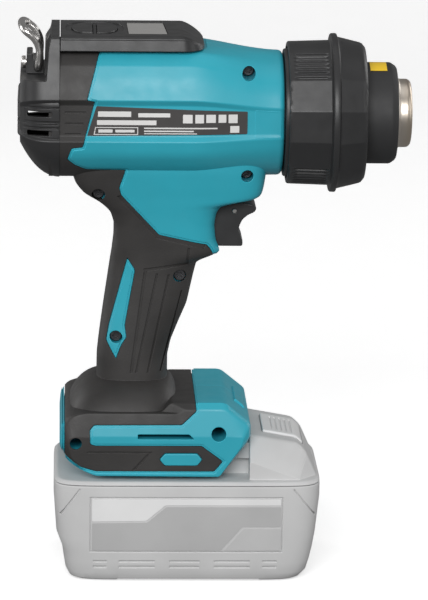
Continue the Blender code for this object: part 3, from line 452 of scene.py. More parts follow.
# Rounded shoulder that carries the grip: rear x, front x, half width and squareness below and above
SHOULDER_BASE = (-64.0, -14.5, 32.0, 3.4)
SHOULDER_TOP = (-50.8, -20.2, 15.8, 2.3)
SHOULDER_BASE_Z = 76.6
SHOULDER_RISE = 11.2
SHOULDER_START = math.radians(30.0)     # slant of its foot, as an angle along the round
SHOULDER_STEPS = 16
SHOULDER_ROOT = 8.0        # how far it reaches down into the foot


def shoulder_solid(name, inset):
    """Shoulder that rises from the foot to the grip in a quarter round."""
    rings = []
    for k in range(-1, SHOULDER_STEPS + 1):
        angle = SHOULDER_START + (math.pi / 2.0 - SHOULDER_START) * max(k, 0) / SHOULDER_STEPS
        spread = math.cos(angle) / math.cos(SHOULDER_START)
        lift = (math.sin(angle) - math.sin(SHOULDER_START)) / (1.0 - math.sin(SHOULDER_START))
        sizes = [top + (base - top) * spread for base, top in zip(SHOULDER_BASE, SHOULDER_TOP)]
        z = SHOULDER_BASE_Z + SHOULDER_RISE * lift - SHOULDER_ROOT * (k < 0) - inset
        rings.append(neck_ring((z, *sizes), inset))
    return loft(name, rings)


FOOT_BOSS = [(9.4, 76.6), (14.0, 72.9), (15.0, 74.2), (14.3, 75.3), (10.6, 78.3)]
shapes = {}


def outer_shape(name, inset):
    """Whole handle and barrel as one solid, moved inwards; each inset is worked out once."""
    if inset not in shapes:
        shape = barrel_solid("shape", inset, low_x=SEAM_X - SEAM_OVERLAP * (inset > 0))
        unite(shape, neck_solid("neck", inset))
        foot = unite(foot_body("foot", inset), shoulder_solid("shoulder", inset))
        shapes[inset] = unite(shape, foot)
    return copy_of(shapes[inset], name)


# ---------------------------------------------------------------- colour zones of the shell

# Soft black zone over the rear band, the neck, the grip and the foot's shoulder, as (x, z)
SOFT_ZONE = [
    (-80.0, 252.0), (-51.3, 252.0), (-51.3, 238.0), (-56.8, 217.2), (-53.4, 216.6), (-58.6, 196.3),
    (-63.4, 195.8), (-65.4, 190.5), (-62.0, 187.4), (-57.0, 184.9), (-39.6, 184.6), (-42.3, 176.5),
    (-41.4, 172.8), (-24.4, 154.4), (-3.2, 149.6), (-1.2, 147.2), (0.4, 143.2), (8.0, 142.6),
    (8.0, 93.0), (-9.0, 92.0), (-7.5, 78.0), (-14.0, 72.0), (-53.0, 71.8), (-54.8, 69.6),
    (-54.5, 63.3), (-52.5, 62.6), (-5.0, 62.6), (4.4, 55.6), (0.6, 51.0), (-52.0, 51.0),
    (-59.0, 53.0), (-66.0, 58.0), (-66.0, 76.0), (-72.0, 79.0), (-75.0, 92.0),
]
# Hard teal stripe that shows through the grip's overmould
INLAY = [
    (-38.4, 143.4), (-35.0, 138.0), (-39.4, 112.6), (-38.6, 107.2), (-41.0, 103.4), (-43.2, 97.4),
    (-47.6, 105.4), (-46.4, 112.6),
]
ZONE_REACH = 60.0      # half width of the tools that cut the zones
RIM_WIDTH = 0.9        # lowered rim of the hard plastic where it meets the overmould
RIM_DEPTH = 0.4
RELIEF_DEPTH = 1.05    # depth of the overmould's grooves below the hard plastic

# Housing screws seen on the right side: x, z, radius of the head's recess
SCREWS = {
    "screw_barrel_upper": (14.2, 228.0, 3.0),
    "screw_barrel_lower": (14.2, 181.8, 2.8),
    "screw_neck": (-51.5, 172.5, 3.0),
    "screw_grip_upper": (-15.0, 135.0, 2.9),
    "screw_grip_lower": (-43.2, 107.2, 2.9),
    "screw_foot_front": (2.5, 68.0, 3.3),
    "screw_foot_rear": (-61.0, 63.5, 2.7),
}
SOFT_SCREWS = ("screw_neck", "screw_grip_upper", "screw_foot_rear")    # seen through the overmould
SOFT_SCREW_ROOM = 0.9      # how much wider the shell's holes are under the overmould
HARD_SCREW_ROOM = 0.2      # how much wider the overmould's holes are over the other screws
SCREW_SEAT_Y = -9.0
HEAD_ROOM = 0.2        # air round a screw's head
LOBE_POINTS = 48
RAIL_REAR_X = -55.5
BOSS_WALL = 1.9


def halves(whole, right_name, left_name):
    """Right and left half of a solid, clear of the parting plane; the whole is dropped."""
    made = []
    for side, name in ((-1, right_name), (1, left_name)):
        low_y, high_y = sorted((side * GAP / 4.0, side * 90.0))
        space = box("side", (-120.0, low_y, -20.0), (120.0, high_y, 300.0))
        made.append(keep(copy_of(whole, name), space))
    drop(whole)
    return made


def through(outline, distance, ease=0.7):
    """Prism right through the tool from an outline that is moved outwards and eased."""
    return prism("zone", eased(grow(outline, distance), ease, 3), -ZONE_REACH, ZONE_REACH)


def screw_hole(x, z, radius):
    """Tool for the recess over one screw, from outside to the seat of its head."""
    return rod("hole", (x, -60.0, z), (0, 1, 0), [(0.0, radius), (60.0 + SCREW_SEAT_Y, radius)], 40)


# Rooms inside the housing, as low x, high x, half width, low z and high z
ROOMS = [
    (-58.0, 8.0, 29.0, 65.0, 73.0),                 # foot
    (-20.0, 4.0, 28.0, 65.0, 78.0),                 # foot's raised front
    (RAIL_REAR_X - 0.6, 30.0, 26.3, 53.8, 62.1),    # lips of the battery's rails
    (RAIL_REAR_X - 0.6, 30.0, 22.8, 40.0, 54.2),    # the rails' way in
    (-50.0, -10.0, 20.0, 61.0, 66.0),               # terminals
    (-12.0, 30.0, 9.8, 143.0, 168.4),               # trigger
    (-80.0, -4.0, 40.0, 237.7, 260.0),              # under the control panel
]
FRONT_BORE_R = 24.0


def hollow(shape):
    """Cut everything that is hollow inside the closed housing."""
    tools = [barrel_solid("cavity", WALL, low_x=SEAM_X - SEAM_OVERLAP), neck_solid("cavity", WALL)]
    above = box("above", (-80.0, -50.0, 68.0), (40.0, 50.0, 120.0))
    tools.append(keep(shoulder_solid("cavity", WALL), above))
    bore = [(0.0, FRONT_BORE_R), (20.0, FRONT_BORE_R)]
    tools.append(rod("bore", (20.0, 0.0, AXIS_Z), (1, 0, 0), bore, 96))
    tools += [box("room", (x0, -half, z0), (x1, half, z1)) for x0, x1, half, z0, z1 in ROOMS]
    for tool in tools:
        cut(shape, tool)
    return shape


def zone_layer(inset):
    """Layer of the shell over the soft zone, down to an inset."""
    layer = cut(through(SOFT_ZONE, GAP / 2.0), through(INLAY, -GAP / 2.0))
    return cut(layer, outer_shape("core", inset))


def rim_layer():
    """Shallow layer round the soft zone, where the hard plastic's edge steps down."""
    reach = GAP / 2.0 + RIM_WIDTH
    layer = cut(through(SOFT_ZONE, reach), through(INLAY, -reach, 0.5))
    return cut(layer, outer_shape("core", RIM_DEPTH))


# Slot in the foot's teal stripe, and the raised frame beside the nameplate, as (x, z)
FOOT_SLOT = [(-33.5, 65.7), (-11.0, 65.7), (-8.2, 65.7), (-10.6, 68.0), (-33.5, 68.0)]
SIDE_FRAME = [(17.0, 200.4), (28.6, 200.4), (28.6, 212.0), (17.0, 212.6)]


def make_housing():
    """Right and left clamshells with their screw posts."""
    whole = outer_shape("housing", 0.0)
    raised = prism("frame", eased(SIDE_FRAME, 0.6, 3), -40.0, -20.0)
    unite(whole, keep(raised, barrel_solid("frame", -0.1)))
    unite(whole, prism("boss", eased(FOOT_BOSS, 0.4, 3), -12.0, 12.0))
    hollow(whole)
    posts = []
    for x, z, radius in SCREWS.values():
        wide = radius + BOSS_WALL
        posts.append(rod("post", (x, -60.0, z), (0, 1, 0), [(0.0, wide), (60.0 + SCREW_SEAT_Y + 4.0, wide)]))
    unite(whole, keep(joined(posts), outer_shape("limit", 1.0)))
    cut(whole, zone_layer(SKIN + GAP))
    cut(whole, rim_layer())
    for name, (x, z, radius) in SCREWS.items():
        cut(whole, screw_hole(x, z, radius + SOFT_SCREW_ROOM * (name in SOFT_SCREWS)))
    cut(whole, prism("slot", eased(FOOT_SLOT, 0.4, 3), -40.0, -28.5))
    return halves(whole, "shell_right", "shell_left")


# Grooves in the overmould as (x, z) outlines: along the teal edge, the border and the ribs of the
# finger pad, and the lines on the foot's panel and on the rear band
EDGE_GROOVE = [
    (-43.3, 172.3), (-41.4, 172.8), (-24.4, 154.4), (-3.2, 149.6), (-4.4, 147.9), (-25.4, 152.7),
]
PAD_BORDER = [(-31.0, 137.2), (-11.0, 140.2), (-11.4, 141.6), (-31.2, 138.6)]
PAD_UPRIGHT = [(-11.6, 148.4), (-10.5, 148.2), (-11.4, 140.4), (-12.6, 140.6)]
PAD_RIBS = [
    [(-30.9, 138.2), (-29.7, 138.0), (-34.4, 101.0), (-35.7, 91.0), (-36.9, 91.0), (-35.7, 101.0)],
    [(-25.6, 136.4), (-24.6, 136.4), (-33.6, 91.0), (-34.6, 91.0)],
    [(-20.4, 135.9), (-19.4, 135.9), (-28.4, 91.0), (-29.4, 91.0)],
    [(-14.4, 128.0), (-13.6, 128.4), (-22.8, 91.0), (-23.6, 91.0)],
]
FOOT_LINES = [
    [(-56.0, 59.2), (-27.4, 59.2), (-27.0, 59.9), (-56.0, 59.9)],
    [(-28.6, 59.6), (-27.2, 59.6), (-34.6, 51.4), (-36.0, 51.4)],
]
REAR_LINES = [oblong(-66.4, z, front_x, z + 0.8)
              for z, front_x in ((211.2, -57.2), (206.2, -58.4), (201.6, -59.6))]
BADGE = [(-23.6, 56.5), (-21.4, 59.2), (-7.0, 59.2), (-4.9, 56.5), (-7.0, 53.8), (-21.4, 53.8)]


def make_overmould():
    """Right and left soft skins that give the grip."""
    skin = outer_shape("skin", SINK)
    keep(skin, through(SOFT_ZONE, -GAP / 2.0))
    cut(skin, through(INLAY, GAP / 2.0))
    cut(skin, outer_shape("core", SKIN))
    grooves = [EDGE_GROOVE, PAD_BORDER, PAD_UPRIGHT] + PAD_RIBS + FOOT_LINES + REAR_LINES
    relief = joined([prism("line", outline, -ZONE_REACH, ZONE_REACH) for outline in grooves])
    cut(skin, cut(relief, outer_shape("core", RELIEF_DEPTH)))
    cut(skin, box("panel", (-80.0, -40.0, PANEL_BOTTOM_Z - GAP), (-4.0, 40.0, 260.0)))
    cut(skin, prism("badge", eased(grow(BADGE, GAP), 0.8, 3), -ZONE_REACH, 0.0))
    cut(skin, box("rails", (RAIL_REAR_X, -26.5, 40.0), (30.0, 26.5, 63.0)))
    for name, (x, z, radius) in SCREWS.items():
        cut(skin, screw_hole(x, z, radius + HARD_SCREW_ROOM * (name not in SOFT_SCREWS)))
    return halves(skin, "grip_right", "grip_left")


def make_badge():
    """Plain plate let into the foot's right side."""
    steps = ((1.3, 0.0), (-0.15, 0.0), (-0.4, -0.3))
    rings = [[(x, -FOOT_HALF_WIDTH + depth, z) for x, z in eased(grow(BADGE, inset), 0.8, 3)]
             for depth, inset in steps]
    return loft("badge_plate", rings)


def make_screw(name):
    """Screw head with its six-lobed recess, and its shank."""
    x, z, radius = SCREWS[name]
    head = radius - HEAD_ROOM
    start = (x, SCREW_SEAT_Y - 2.4, z)
    steps = [(0.0, head - 0.5), (0.15, head - 0.2), (0.5, head), (2.0, head), (2.1, 1.5), (17.0, 1.5),
             (18.5, 0.5)]
    screw = rod(name.replace("screw", "bolt"), start, (0, 1, 0), steps)
    lobes = []
    for k in range(LOBE_POINTS):
        angle = math.tau * k / LOBE_POINTS
        reach = head * (0.5 + 0.09 * math.cos(6.0 * angle))
        lobes.append((x + reach * math.cos(angle), z + reach * math.sin(angle)))
    return cut(screw, prism("recess", lobes, start[1] - 1.0, start[1] + 1.4))


# ---------------------------------------------------------------- rear cover, panel and plate

REAR_FRONT_X = SEAM_X - GAP
REAR_LENGTH = 17.4
REAR_STEPS = 16
REAR_SHRINK = 7.2      # how far the rear cover draws in at its rear face
REAR_LIFT = 12.5       # how far its underside rises there
REAR_LIFT_TOP_Z = 200.0     # the rise fades out from below up to this height, over this span
REAR_LIFT_SPAN = 22.0
REAR_EASE = [0.5, 0.8, 0.8, 0.8, 3.0, 0.4, 0.4, 0.4, 0.4, 3.0, 3.0, 3.0, 3.0, 0.5]
BAND_HALF_PLAN = [(SEAM_X - 0.5, 30.9), (-76.0, 30.4), (-81.5, 28.6), (-85.4, 24.6), (-87.3, 17.0)]
# Louvre band round the rear cover, from its foot to its top: height and depth below its bulge
BAND_ROWS = [
    (198.8, 1.8), (199.2, 0.7), (200.0, 0.1), (200.6, 0.0), (204.2, 0.0), (204.7, 0.6), (205.3, 0.0),
    (206.2, 0.0), (206.6, 0.9), (207.4, 0.9), (207.8, 0.0), (213.2, 0.0), (213.7, 0.6), (214.3, 0.0),
    (215.4, 0.0), (216.4, 0.5), (217.0, 1.5),
]
SLOT_HEIGHTS = (210.8, 202.4)
SLOT_HALF_HEIGHT = 1.2
LEDGE_Z = 225.2
ABOVE_LEDGE = [
    (-95.0, LEDGE_Z), (-74.5, LEDGE_Z), (-73.4, 239.5), (-72.6, 242.6), (-71.8, 255.0), (-95.0, 255.0),
]
REAR_RIB = [(-71.0, 243.6), (-72.9, 243.2), (-75.2, 239.6), (-75.6, LEDGE_Z - 0.2), (-71.0, LEDGE_Z - 0.2)]


def rear_ring(x, inset):
    """Ring of the rear cover at x, with the hump of the panel on top."""
    share = clamp((REAR_FRONT_X - x) / REAR_LENGTH)
    shrink = REAR_SHRINK * share ** 4.2 + inset
    lift = REAR_LIFT * share ** 1.9
    half = [corner[:2] for corner in BARREL_CORNERS]
    half[:5] = [(0.0, PANEL_TOP_Z), (-PANEL_HALF_WIDTH + 2.6, PANEL_TOP_Z),
                (-PANEL_HALF_WIDTH + 1.2, PANEL_TOP_Z - 0.9), (-PANEL_HALF_WIDTH, PANEL_BOTTOM_Z),
                (-28.3, 230.0)]
    scale = 1.0 - shrink / BARREL_HALF_WIDTH
    raised = [(y, z + lift * clamp((REAR_LIFT_TOP_Z - z) / REAR_LIFT_SPAN)) for y, z in mirrored(half)]
    ring = [(y * scale, AXIS_Z + (z - AXIS_Z) * scale) for y, z in raised]
    return [(x, y, z) for y, z in eased(ring, REAR_EASE + REAR_EASE[-2:0:-1])]


def rear_body(inset, front_x):
    """Rear cover's solid, drawn in by an inset."""
    rings = [rear_ring(front_x, inset)]
    for share, _ in quarter_turn(REAR_STEPS)[1:]:
        rings.append(rear_ring(REAR_FRONT_X - REAR_LENGTH * share + inset, inset))
    body = loft("rear", rings)
    cut(body, prism("ledge", eased(grow(ABOVE_LEDGE, inset), 0.8, 3), -60.0, 60.0))
    return body


def make_rear_cover():
    """Cap over the fan, with its louvre band and the ledge of the hook."""
    cover = rear_body(0.0, REAR_FRONT_X)
    half = eased(BAND_HALF_PLAN, [0.0, 3.0, 3.0, 4.0, 0.0], 4, closed=False)
    plan = [(x, -y) for x, y in half] + [(x, y) for x, y in reversed(half)]
    band = loft("band", [[(x, y, z) for x, y in grow(plan, -depth)] for z, depth in BAND_ROWS])
    cut(band, box("seam", (REAR_FRONT_X, -60.0, 150.0), (0.0, 60.0, 260.0)))
    unite(cover, band)
    cut(cover, rear_body(WALL, SEAM_X + 2.0))
    unite(cover, prism("rib", eased(REAR_RIB, 0.5, 3), -10.4, 10.4))
    for z in SLOT_HEIGHTS:
        outline = oblong(-83.0, z - SLOT_HALF_HEIGHT, -72.0, z + SLOT_HALF_HEIGHT)
        for side in (-1, 1):
            cut(cover, prism("slot", eased(outline, 0.7, 3), *sorted((side * 20.0, side * 45.0))))
    for k in range(6):
        y = -15.0 + 6.0 * k
        tall = eased(oblong(y - 1.5, 196.0, y + 1.5, 214.0), 1.2, 4)
        cut(cover, loft("slot", [[(x, v, z) for v, z in tall] for x in (-95.0, -82.0)]))
    cover.name = "rear_cap"
    return cover


PANEL_WINDOW = [(-38.8, -16.0), (-21.2, -16.0), (-22.6, 16.0), (-39.4, 16.0)]
PANEL_NOSE_X = -15.0
PANEL_TIP_X = -5.2
PANEL_TIP_Z = 239.4
PANEL_TIP_NARROWING = 12.0     # how far each side draws in at the tip
PANEL_STEPS = 10
BUTTON_OVAL = ((-63.4, -13.0), (-43.4, 13.0))
BUTTON_MIDDLE_X = (-54.4, -52.4)


def panel_ring(x, half_width, top):
    """Ring of the control panel at x, with a fine step under its top face."""
    height = (top - PANEL_BOTTOM_Z) / (PANEL_TOP_Z - PANEL_BOTTOM_Z)
    half = [(0.0, top), (-half_width + 2.9, top), (-half_width + 1.5, top - 0.9 * height),
            (-half_width + 1.4, top - 1.5 * height), (-half_width + 0.9, top - 1.6 * height),
            (-half_width, PANEL_BOTTOM_Z)]
    ring = half + [(-y, z) for y, z in reversed(half[1:])]
    eases = [1.0, 0.8, 0.4, 0.25, 0.5, 0.3]
    return [(x, y, z) for y, z in eased(ring, eases + eases[:0:-1])]


def panel_body():
    """Panel's solid, narrowing and dropping to its front tip."""
    rings = [panel_ring(SEAM_X, PANEL_HALF_WIDTH, PANEL_TOP_Z)]
    for k in range(PANEL_STEPS + 1):
        share = k / PANEL_STEPS
        half_width = PANEL_HALF_WIDTH - PANEL_TIP_NARROWING * (1.0 - math.sqrt(1.0 - share ** 2))
        top = PANEL_TOP_Z - (PANEL_TOP_Z - PANEL_TIP_Z) * share ** 1.5
        rings.append(panel_ring(PANEL_NOSE_X + (PANEL_TIP_X - PANEL_NOSE_X) * share, half_width, top))
    return loft("panel_cover", rings)


def button_outline(low_x, high_x, half_width, round_low):
    """Half-oval outline of one temperature button, as (x, y)."""
    straight, curved = (high_x, low_x) if round_low else (low_x, high_x)
    depth = curved - straight
    points = [(straight, -half_width), (straight, half_width)]
    for k in range(1, 16):
        angle = math.pi / 2.0 - math.pi * k / 16.0
        points.append((straight + depth * (0.35 + 0.65 * math.cos(angle)), half_width * math.sin(angle)))
    return points


def button_plans(clearance):
    """Outlines of the lowering and raising buttons, grown by a clearance."""
    left, right = BUTTON_MIDDLE_X
    half = BUTTON_OVAL[1][1]
    down = grow(button_outline(BUTTON_OVAL[0][0], left, half, True), clearance)
    up = grow(button_outline(right, BUTTON_OVAL[1][0], half, False), clearance)
    return {"temperature_down_button": down, "temperature_up_button": up}


def make_panel():
    """Control panel with a dished seat round its buttons, and the display's window."""
    panel = panel_body()
    (x0, y0), (x1, y1) = BUTTON_OVAL
    seat = superellipse((x1 - x0) / 2.0 + 3.0, y1 - y0 - 6.0, 3.0, 48)
    seat = [((x0 + x1) / 2.0 + u, v * 0.85) for u, v in seat]
    cut(panel, upright("seat", seat, PANEL_TOP_Z - 0.55, 250.0))
    cut(panel, box("room", (-66.0, -21.5, 230.0), (-17.0, 21.5, 242.6)))
    cut(panel, upright("window", eased(PANEL_WINDOW, 0.6, 3), 240.0, 250.0))
    for outline in button_plans(GAP).values():
        cut(panel, upright("hole", outline, 240.0, 250.0))
    outline = eased(grow(PANEL_WINDOW, -GAP), 0.5, 3)
    window = upright("display_lens", outline, 241.6, PANEL_TOP_Z - 0.25)
    low, high = extent("display_window")
    unite(window, box("rim", (low.x, low.y, low.z), (high.x, high.y, low.z + 1.1)))
    return panel, window


def make_button(name):
    """Temperature button with an eased top edge over its flange."""
    outline = button_plans(0.0)[name]
    low = extent(name)[0].z
    top = extent(name)[1].z
    steps = [(low, 0.7), (low + 1.3, 0.7), (low + 1.3, 0.0), (top - 0.5, 0.0), (top - 0.15, -0.15),
             (top, -0.5)]
    rings = [[(x, y, z) for x, y in grow(outline, reach)] for z, reach in steps]
    return loft(name.replace("temperature", "key"), rings)


PLATE = [(-52.7, 214.6), (13.6, 212.2), (13.6, 202.2), (-56.7, 201.4)]
PLATE_PROUD = 0.25
# Plain marks where the plate is printed, as (low x, low z, high x, high z)
PLATE_BARS = [
    (-52.0, 209.9, -37.5, 212.3), (-34.4, 209.8, -20.4, 211.6), (-52.4, 206.3, -26.4, 208.4),
    (-14.8, 207.2, -10.6, 211.0), (-9.4, 207.2, -5.6, 211.0), (-4.6, 207.4, -0.4, 211.0),
    (0.8, 207.4, 4.2, 211.0), (5.2, 207.2, 9.2, 211.0), (6.0, 202.9, 10.0, 205.9),
    (-31.8, 204.6, 0.4, 205.2), (-31.8, 203.3, -10.0, 203.9), (-31.8, 202.3, -8.6, 202.7),
    (-52.8, 205.0, -34.4, 205.35), (-53.9, 201.9, -34.4, 202.25), (-34.75, 201.9, -34.4, 205.35),
    (-51.8, 202.9, -45.6, 204.3), (-44.4, 203.0, -36.0, 204.2),
]


def print_layer(name, outlines, under, proud):
    """Thin layer over the outlines on the barrel's right side, from a depth to a height proud of it."""
    layer = joined([prism(name, outline, -40.0, -20.0) for outline in outlines])
    keep(layer, barrel_solid("outside", -proud))
    return cut(layer, barrel_solid("inside", -under))


def make_nameplate():
    """Dark plate in the recess of the right side, and plain marks where it is printed."""
    plate = print_layer("rating_plate", [eased(PLATE, 0.5, 3)], 0.02, PLATE_PROUD)
    bars = [eased(oblong(*bar), 0.12, 2) for bar in PLATE_BARS]
    rear_bar = [(-52.8, 205.35), (-53.15, 205.35), (-53.9, 201.9), (-53.5, 201.9)]
    marks = print_layer("plate_marks", bars + [rear_bar], PLATE_PROUD - 0.05, PLATE_PROUD + 0.06)
    return plate, marks


# ---------------------------------------------------------------- hook

HOOK_PIVOT = pivot("hook_fold")
HOOK_HALF_SPAN = 13.8
HOOK_WIRE_R = 1.7
HOOK_WIRE_ROOM = 0.25      # air round the wire in its bracket
HOOK_BOLT_Z = 229.0
HOOK_SIDE = [(0.0, 0.0), (0.7, 4.6), (0.4, 9.3), (-1.6, 13.2), (-4.8, 16.0)]
HOOK_TIP_BACK = 2.6
HOOK_TIP_RISE = 2.2
HOOK_STEPS = 6


def hook_path():
    """Wire of the hanging hook, from one pivot end round the loop to the other."""
    px, pz = HOOK_PIVOT.x, HOOK_PIVOT.z
    inner = HOOK_HALF_SPAN - 8.0
    leg = [(px + u, pz + v) for u, v in HOOK_SIDE]
    path = [(px, -inner, pz), (px, -HOOK_HALF_SPAN + 1.6, pz)]
    path += [(x, -HOOK_HALF_SPAN, z) for x, z in leg[1:]]
    last_x, last_z = leg[-1]
    for k in range(1, 8):
        angle = math.pi * k / 8.0
        bulge = math.sin(angle)
        path.append((last_x - HOOK_TIP_BACK * bulge, -HOOK_HALF_SPAN * math.cos(angle),
                     last_z + HOOK_TIP_RISE * bulge))
    path += [(x, HOOK_HALF_SPAN, z) for x, z in reversed(leg[1:])]
    path += [(px, HOOK_HALF_SPAN - 1.6, pz), (px, inner, pz)]
    return [Vector(point) for point in path]


def smooth_line(points, steps):
    """Points of a smooth curve through the given ones."""
    made = []
    for k in range(len(points) - 1):
        before = points[max(k - 1, 0)]
        start, end = points[k], points[k + 1]
        after = points[min(k + 2, len(points) - 1)]
        for j in range(steps):
            t = j / steps
            made.append(0.5 * (2.0 * start + (end - before) * t
                               + (2.0 * before - 5.0 * start + 4.0 * end - after) * t ** 2
                               + (3.0 * start - before - 3.0 * end + after) * t ** 3))
    return made + [points[-1]]


def wire(name, points, radius, facets):
    """Round wire along a line of points, with eased ends."""
    rings = []
    side = None
    for k, here in enumerate(points):
        along = (points[min(k + 1, len(points) - 1)] - points[max(k - 1, 0)]).normalized()
        side = along.orthogonal() if side is None else side - along * side.dot(along)
        side.normalize()
        other = along.cross(side)
        reach = radius * (0.86 if k in (0, len(points) - 1) else 1.0)
        angles = [math.tau * j / facets for j in range(facets)]
        rings.append([here + reach * (math.cos(a) * side + math.sin(a) * other) for a in angles])
    return loft(name, rings)


def make_hook():
    """Hanging hook, the bracket it turns in and the bracket's screw."""
    hook = wire("hook_wire", smooth_line(hook_path(), HOOK_STEPS), HOOK_WIRE_R, 24)
    side = [(-75.9, 225.5), (-75.9, 230.0), (-77.0, 231.4), (-80.6, 231.4), (-80.8, 234.0),
            (-83.4, 234.0), (-83.6, 225.5)]
    eases = [0.3, 0.6, 0.6, 0.3, 0.6, 0.6, 0.3]
    bracket = prism("hook_saddle", eased(side, eases, 3), -10.0, 10.0)
    reach = HOOK_HALF_SPAN - 8.6
    bore_r = HOOK_WIRE_R + HOOK_WIRE_ROOM
    for end in (-1, 1):
        start = (HOOK_PIVOT.x, end * reach, HOOK_PIVOT.z)
        cut(bracket, rod("bore", start, (0, end, 0), [(0.0, bore_r), (12.0, bore_r)]))
    cut(bracket, rod("bore", (-86.0, 0.0, HOOK_BOLT_Z), (1, 0, 0), [(0.0, 1.6), (5.0, 1.6)]))
    steps = [(0.0, 1.6), (0.12, 2.2), (0.45, 2.65), (0.8, 2.8), (2.0, 2.8), (2.1, 1.3), (4.6, 1.3)]
    screw = rod("hook_bolt", (-85.9, 0.0, HOOK_BOLT_Z), (1, 0, 0), steps)
    for half_y, half_z in ((1.5, 0.3), (0.3, 1.5)):
        low_z, high_z = HOOK_BOLT_Z - half_z, HOOK_BOLT_Z + half_z
        cut(screw, box("slot", (-87.0, -half_y, low_z), (-85.1, half_y, high_z)))
    return hook, bracket, screw


# ---------------------------------------------------------------- barrel pieces

PATTERN_TILT = math.radians(-2.0)     # angle of the shield's pattern above the right side
FACET_EDGE = math.radians(38.0)
RIB_END = math.radians(66.0)
RIB_PITCH = math.radians(4.3)
RIB_DEPTH = 0.75
RIB_SPAN = (34.4, 49.6)
SHIELD_FACETS = 720
SHIELD_OUTER_R = 28.0      # the pattern is only on the wall outside this radius


def shield_relief(x, radius, angle):
    """Change of the shield's radius: flat facets on its sides with ribs above and below them."""
    if radius < SHIELD_OUTER_R or not 32.5 < x < 66.0 or 50.6 < x < 54.3:
        return 0.0
    turn = (angle - PATTERN_TILT + math.pi / 2.0) % math.pi - math.pi / 2.0
    if abs(turn) <= FACET_EDGE:
        width = 2.0 * FACET_EDGE / 3.0
        middle = (math.floor(turn / width + 0.5)) * width
        return radius * (math.cos(width / 2.0) / math.cos(turn - middle) - 1.0)
    if abs(turn) < RIB_END and RIB_SPAN[0] < x < RIB_SPAN[1]:
        wave = math.cos(math.tau * (abs(turn) - FACET_EDGE) / RIB_PITCH)
        ends = min(x - RIB_SPAN[0], RIB_SPAN[1] - x, 1.0)
        return -RIB_DEPTH * ends * clamp(0.5 - 0.9 * wave)
    return 0.0


def along(profile, step):
    """Open profile with points added so that none is further than a step from the next."""
    made = []
    for (x0, r0), (x1, r1) in zip(profile, profile[1:]):
        count = max(1, math.ceil(math.hypot(x1 - x0, r1 - r0) / step))
        made += [(x0 + (x1 - x0) * k / count, r0 + (r1 - r0) * k / count) for k in range(count)]
    return made + [profile[-1]]


def make_shield():
    """Removable heat shield with its flange."""
    outer = [(32.0, 29.6), (32.2, 31.3), (32.7, 31.7), (50.5, 32.3), (51.0, 33.0), (51.3, 35.0),
             (51.7, 35.3), (53.4, 35.4), (53.9, 35.2), (54.2, 34.2), (54.6, 33.8), (64.4, 31.4),
             (65.4, 30.9), (66.6, 29.4)]
    inner = [(66.6, 24.0), (66.3, 23.7), (63.8, 23.7), (53.0, 30.6), (36.0, 29.2)]
    return revolved("shield_shell", along(outer, 1.0) + inner, SHIELD_FACETS, shield_relief)


def make_lock_ring():
    """Ring that the shield is carried on, with its sleeve inside the housing."""
    profile = [(23.0, 23.1), (23.0, 23.7), (30.3, 23.7), (30.6, 28.1), (31.0, 28.4), (35.2, 28.7),
               (35.6, 28.4), (35.6, 27.4), (33.2, 27.0), (33.2, 23.1)]
    return revolved("bayonet_ring", profile)


def quarter(x, radius, reach, turn, steps=5):
    """Quarter round of a turned profile about a point, from an angle in quarter turns."""
    angles = [math.pi / 2.0 * (turn + k / steps) for k in range(steps + 1)]
    return [(x + reach * math.cos(a), radius + reach * math.sin(a)) for a in angles]


def make_front_tubes():
    """Outer barrel tube, the steel nozzle and the yellow label on the tube."""
    sleeve = [(20.0, 22.6), (77.6, 22.6), (78.4, 22.4), (80.2, 21.2), (80.8, 20.4), (80.9, 16.8),
              (80.7, 16.6), (78.4, 16.6), (78.4, 20.2), (20.0, 20.2)]
    tube = revolved("barrel_tube", sleeve)
    nozzle = [(46.0, 15.3), (78.6, 15.3), (79.0, 15.9), (79.3, 16.1), (81.2, 16.1), (81.7, 15.8),
              (82.2, 15.25)]
    nozzle += list(reversed(quarter(85.0, 12.85, 2.4, 0.0, 8))) + [(87.2, 13.5), (86.6, 13.2), (46.0, 13.3)]
    pipe = revolved("nozzle_pipe", nozzle)
    low, high = extent("barrel_label")
    band = [(low.x, 22.75), (low.x, 22.95), (high.x, 22.95), (high.x, 22.75)]
    label = revolved("blank_label", band, 180)
    wedge = [(0.0, 0.0), (-0.9, 30.0), (-13.0, 27.5)]
    keep(label, loft("sector", [[(x, y, AXIS_Z + z) for y, z in wedge] for x in (60.0, 80.0)]))
    return tube, pipe, label


# ---------------------------------------------------------------- trigger

TRIGGER_SIDE = [
    (1.9, 147.8), (0.4, 151.5), (-0.1, 156.0), (-0.1, 160.0), (0.6, 162.8), (2.0, 165.0), (4.2, 166.7),
    (6.4, 167.3), (13.0, 167.5), (15.5, 167.1), (17.6, 166.6), (19.2, 165.0), (18.3, 163.3),
    (15.2, 161.9), (13.0, 160.0), (11.8, 157.7), (11.1, 155.3), (12.0, 153.2), (13.1, 150.4), (13.0, 147.8),
]
TRIGGER_HALF_WIDTH = 9.0
TRIGGER_ROUND = 0.5


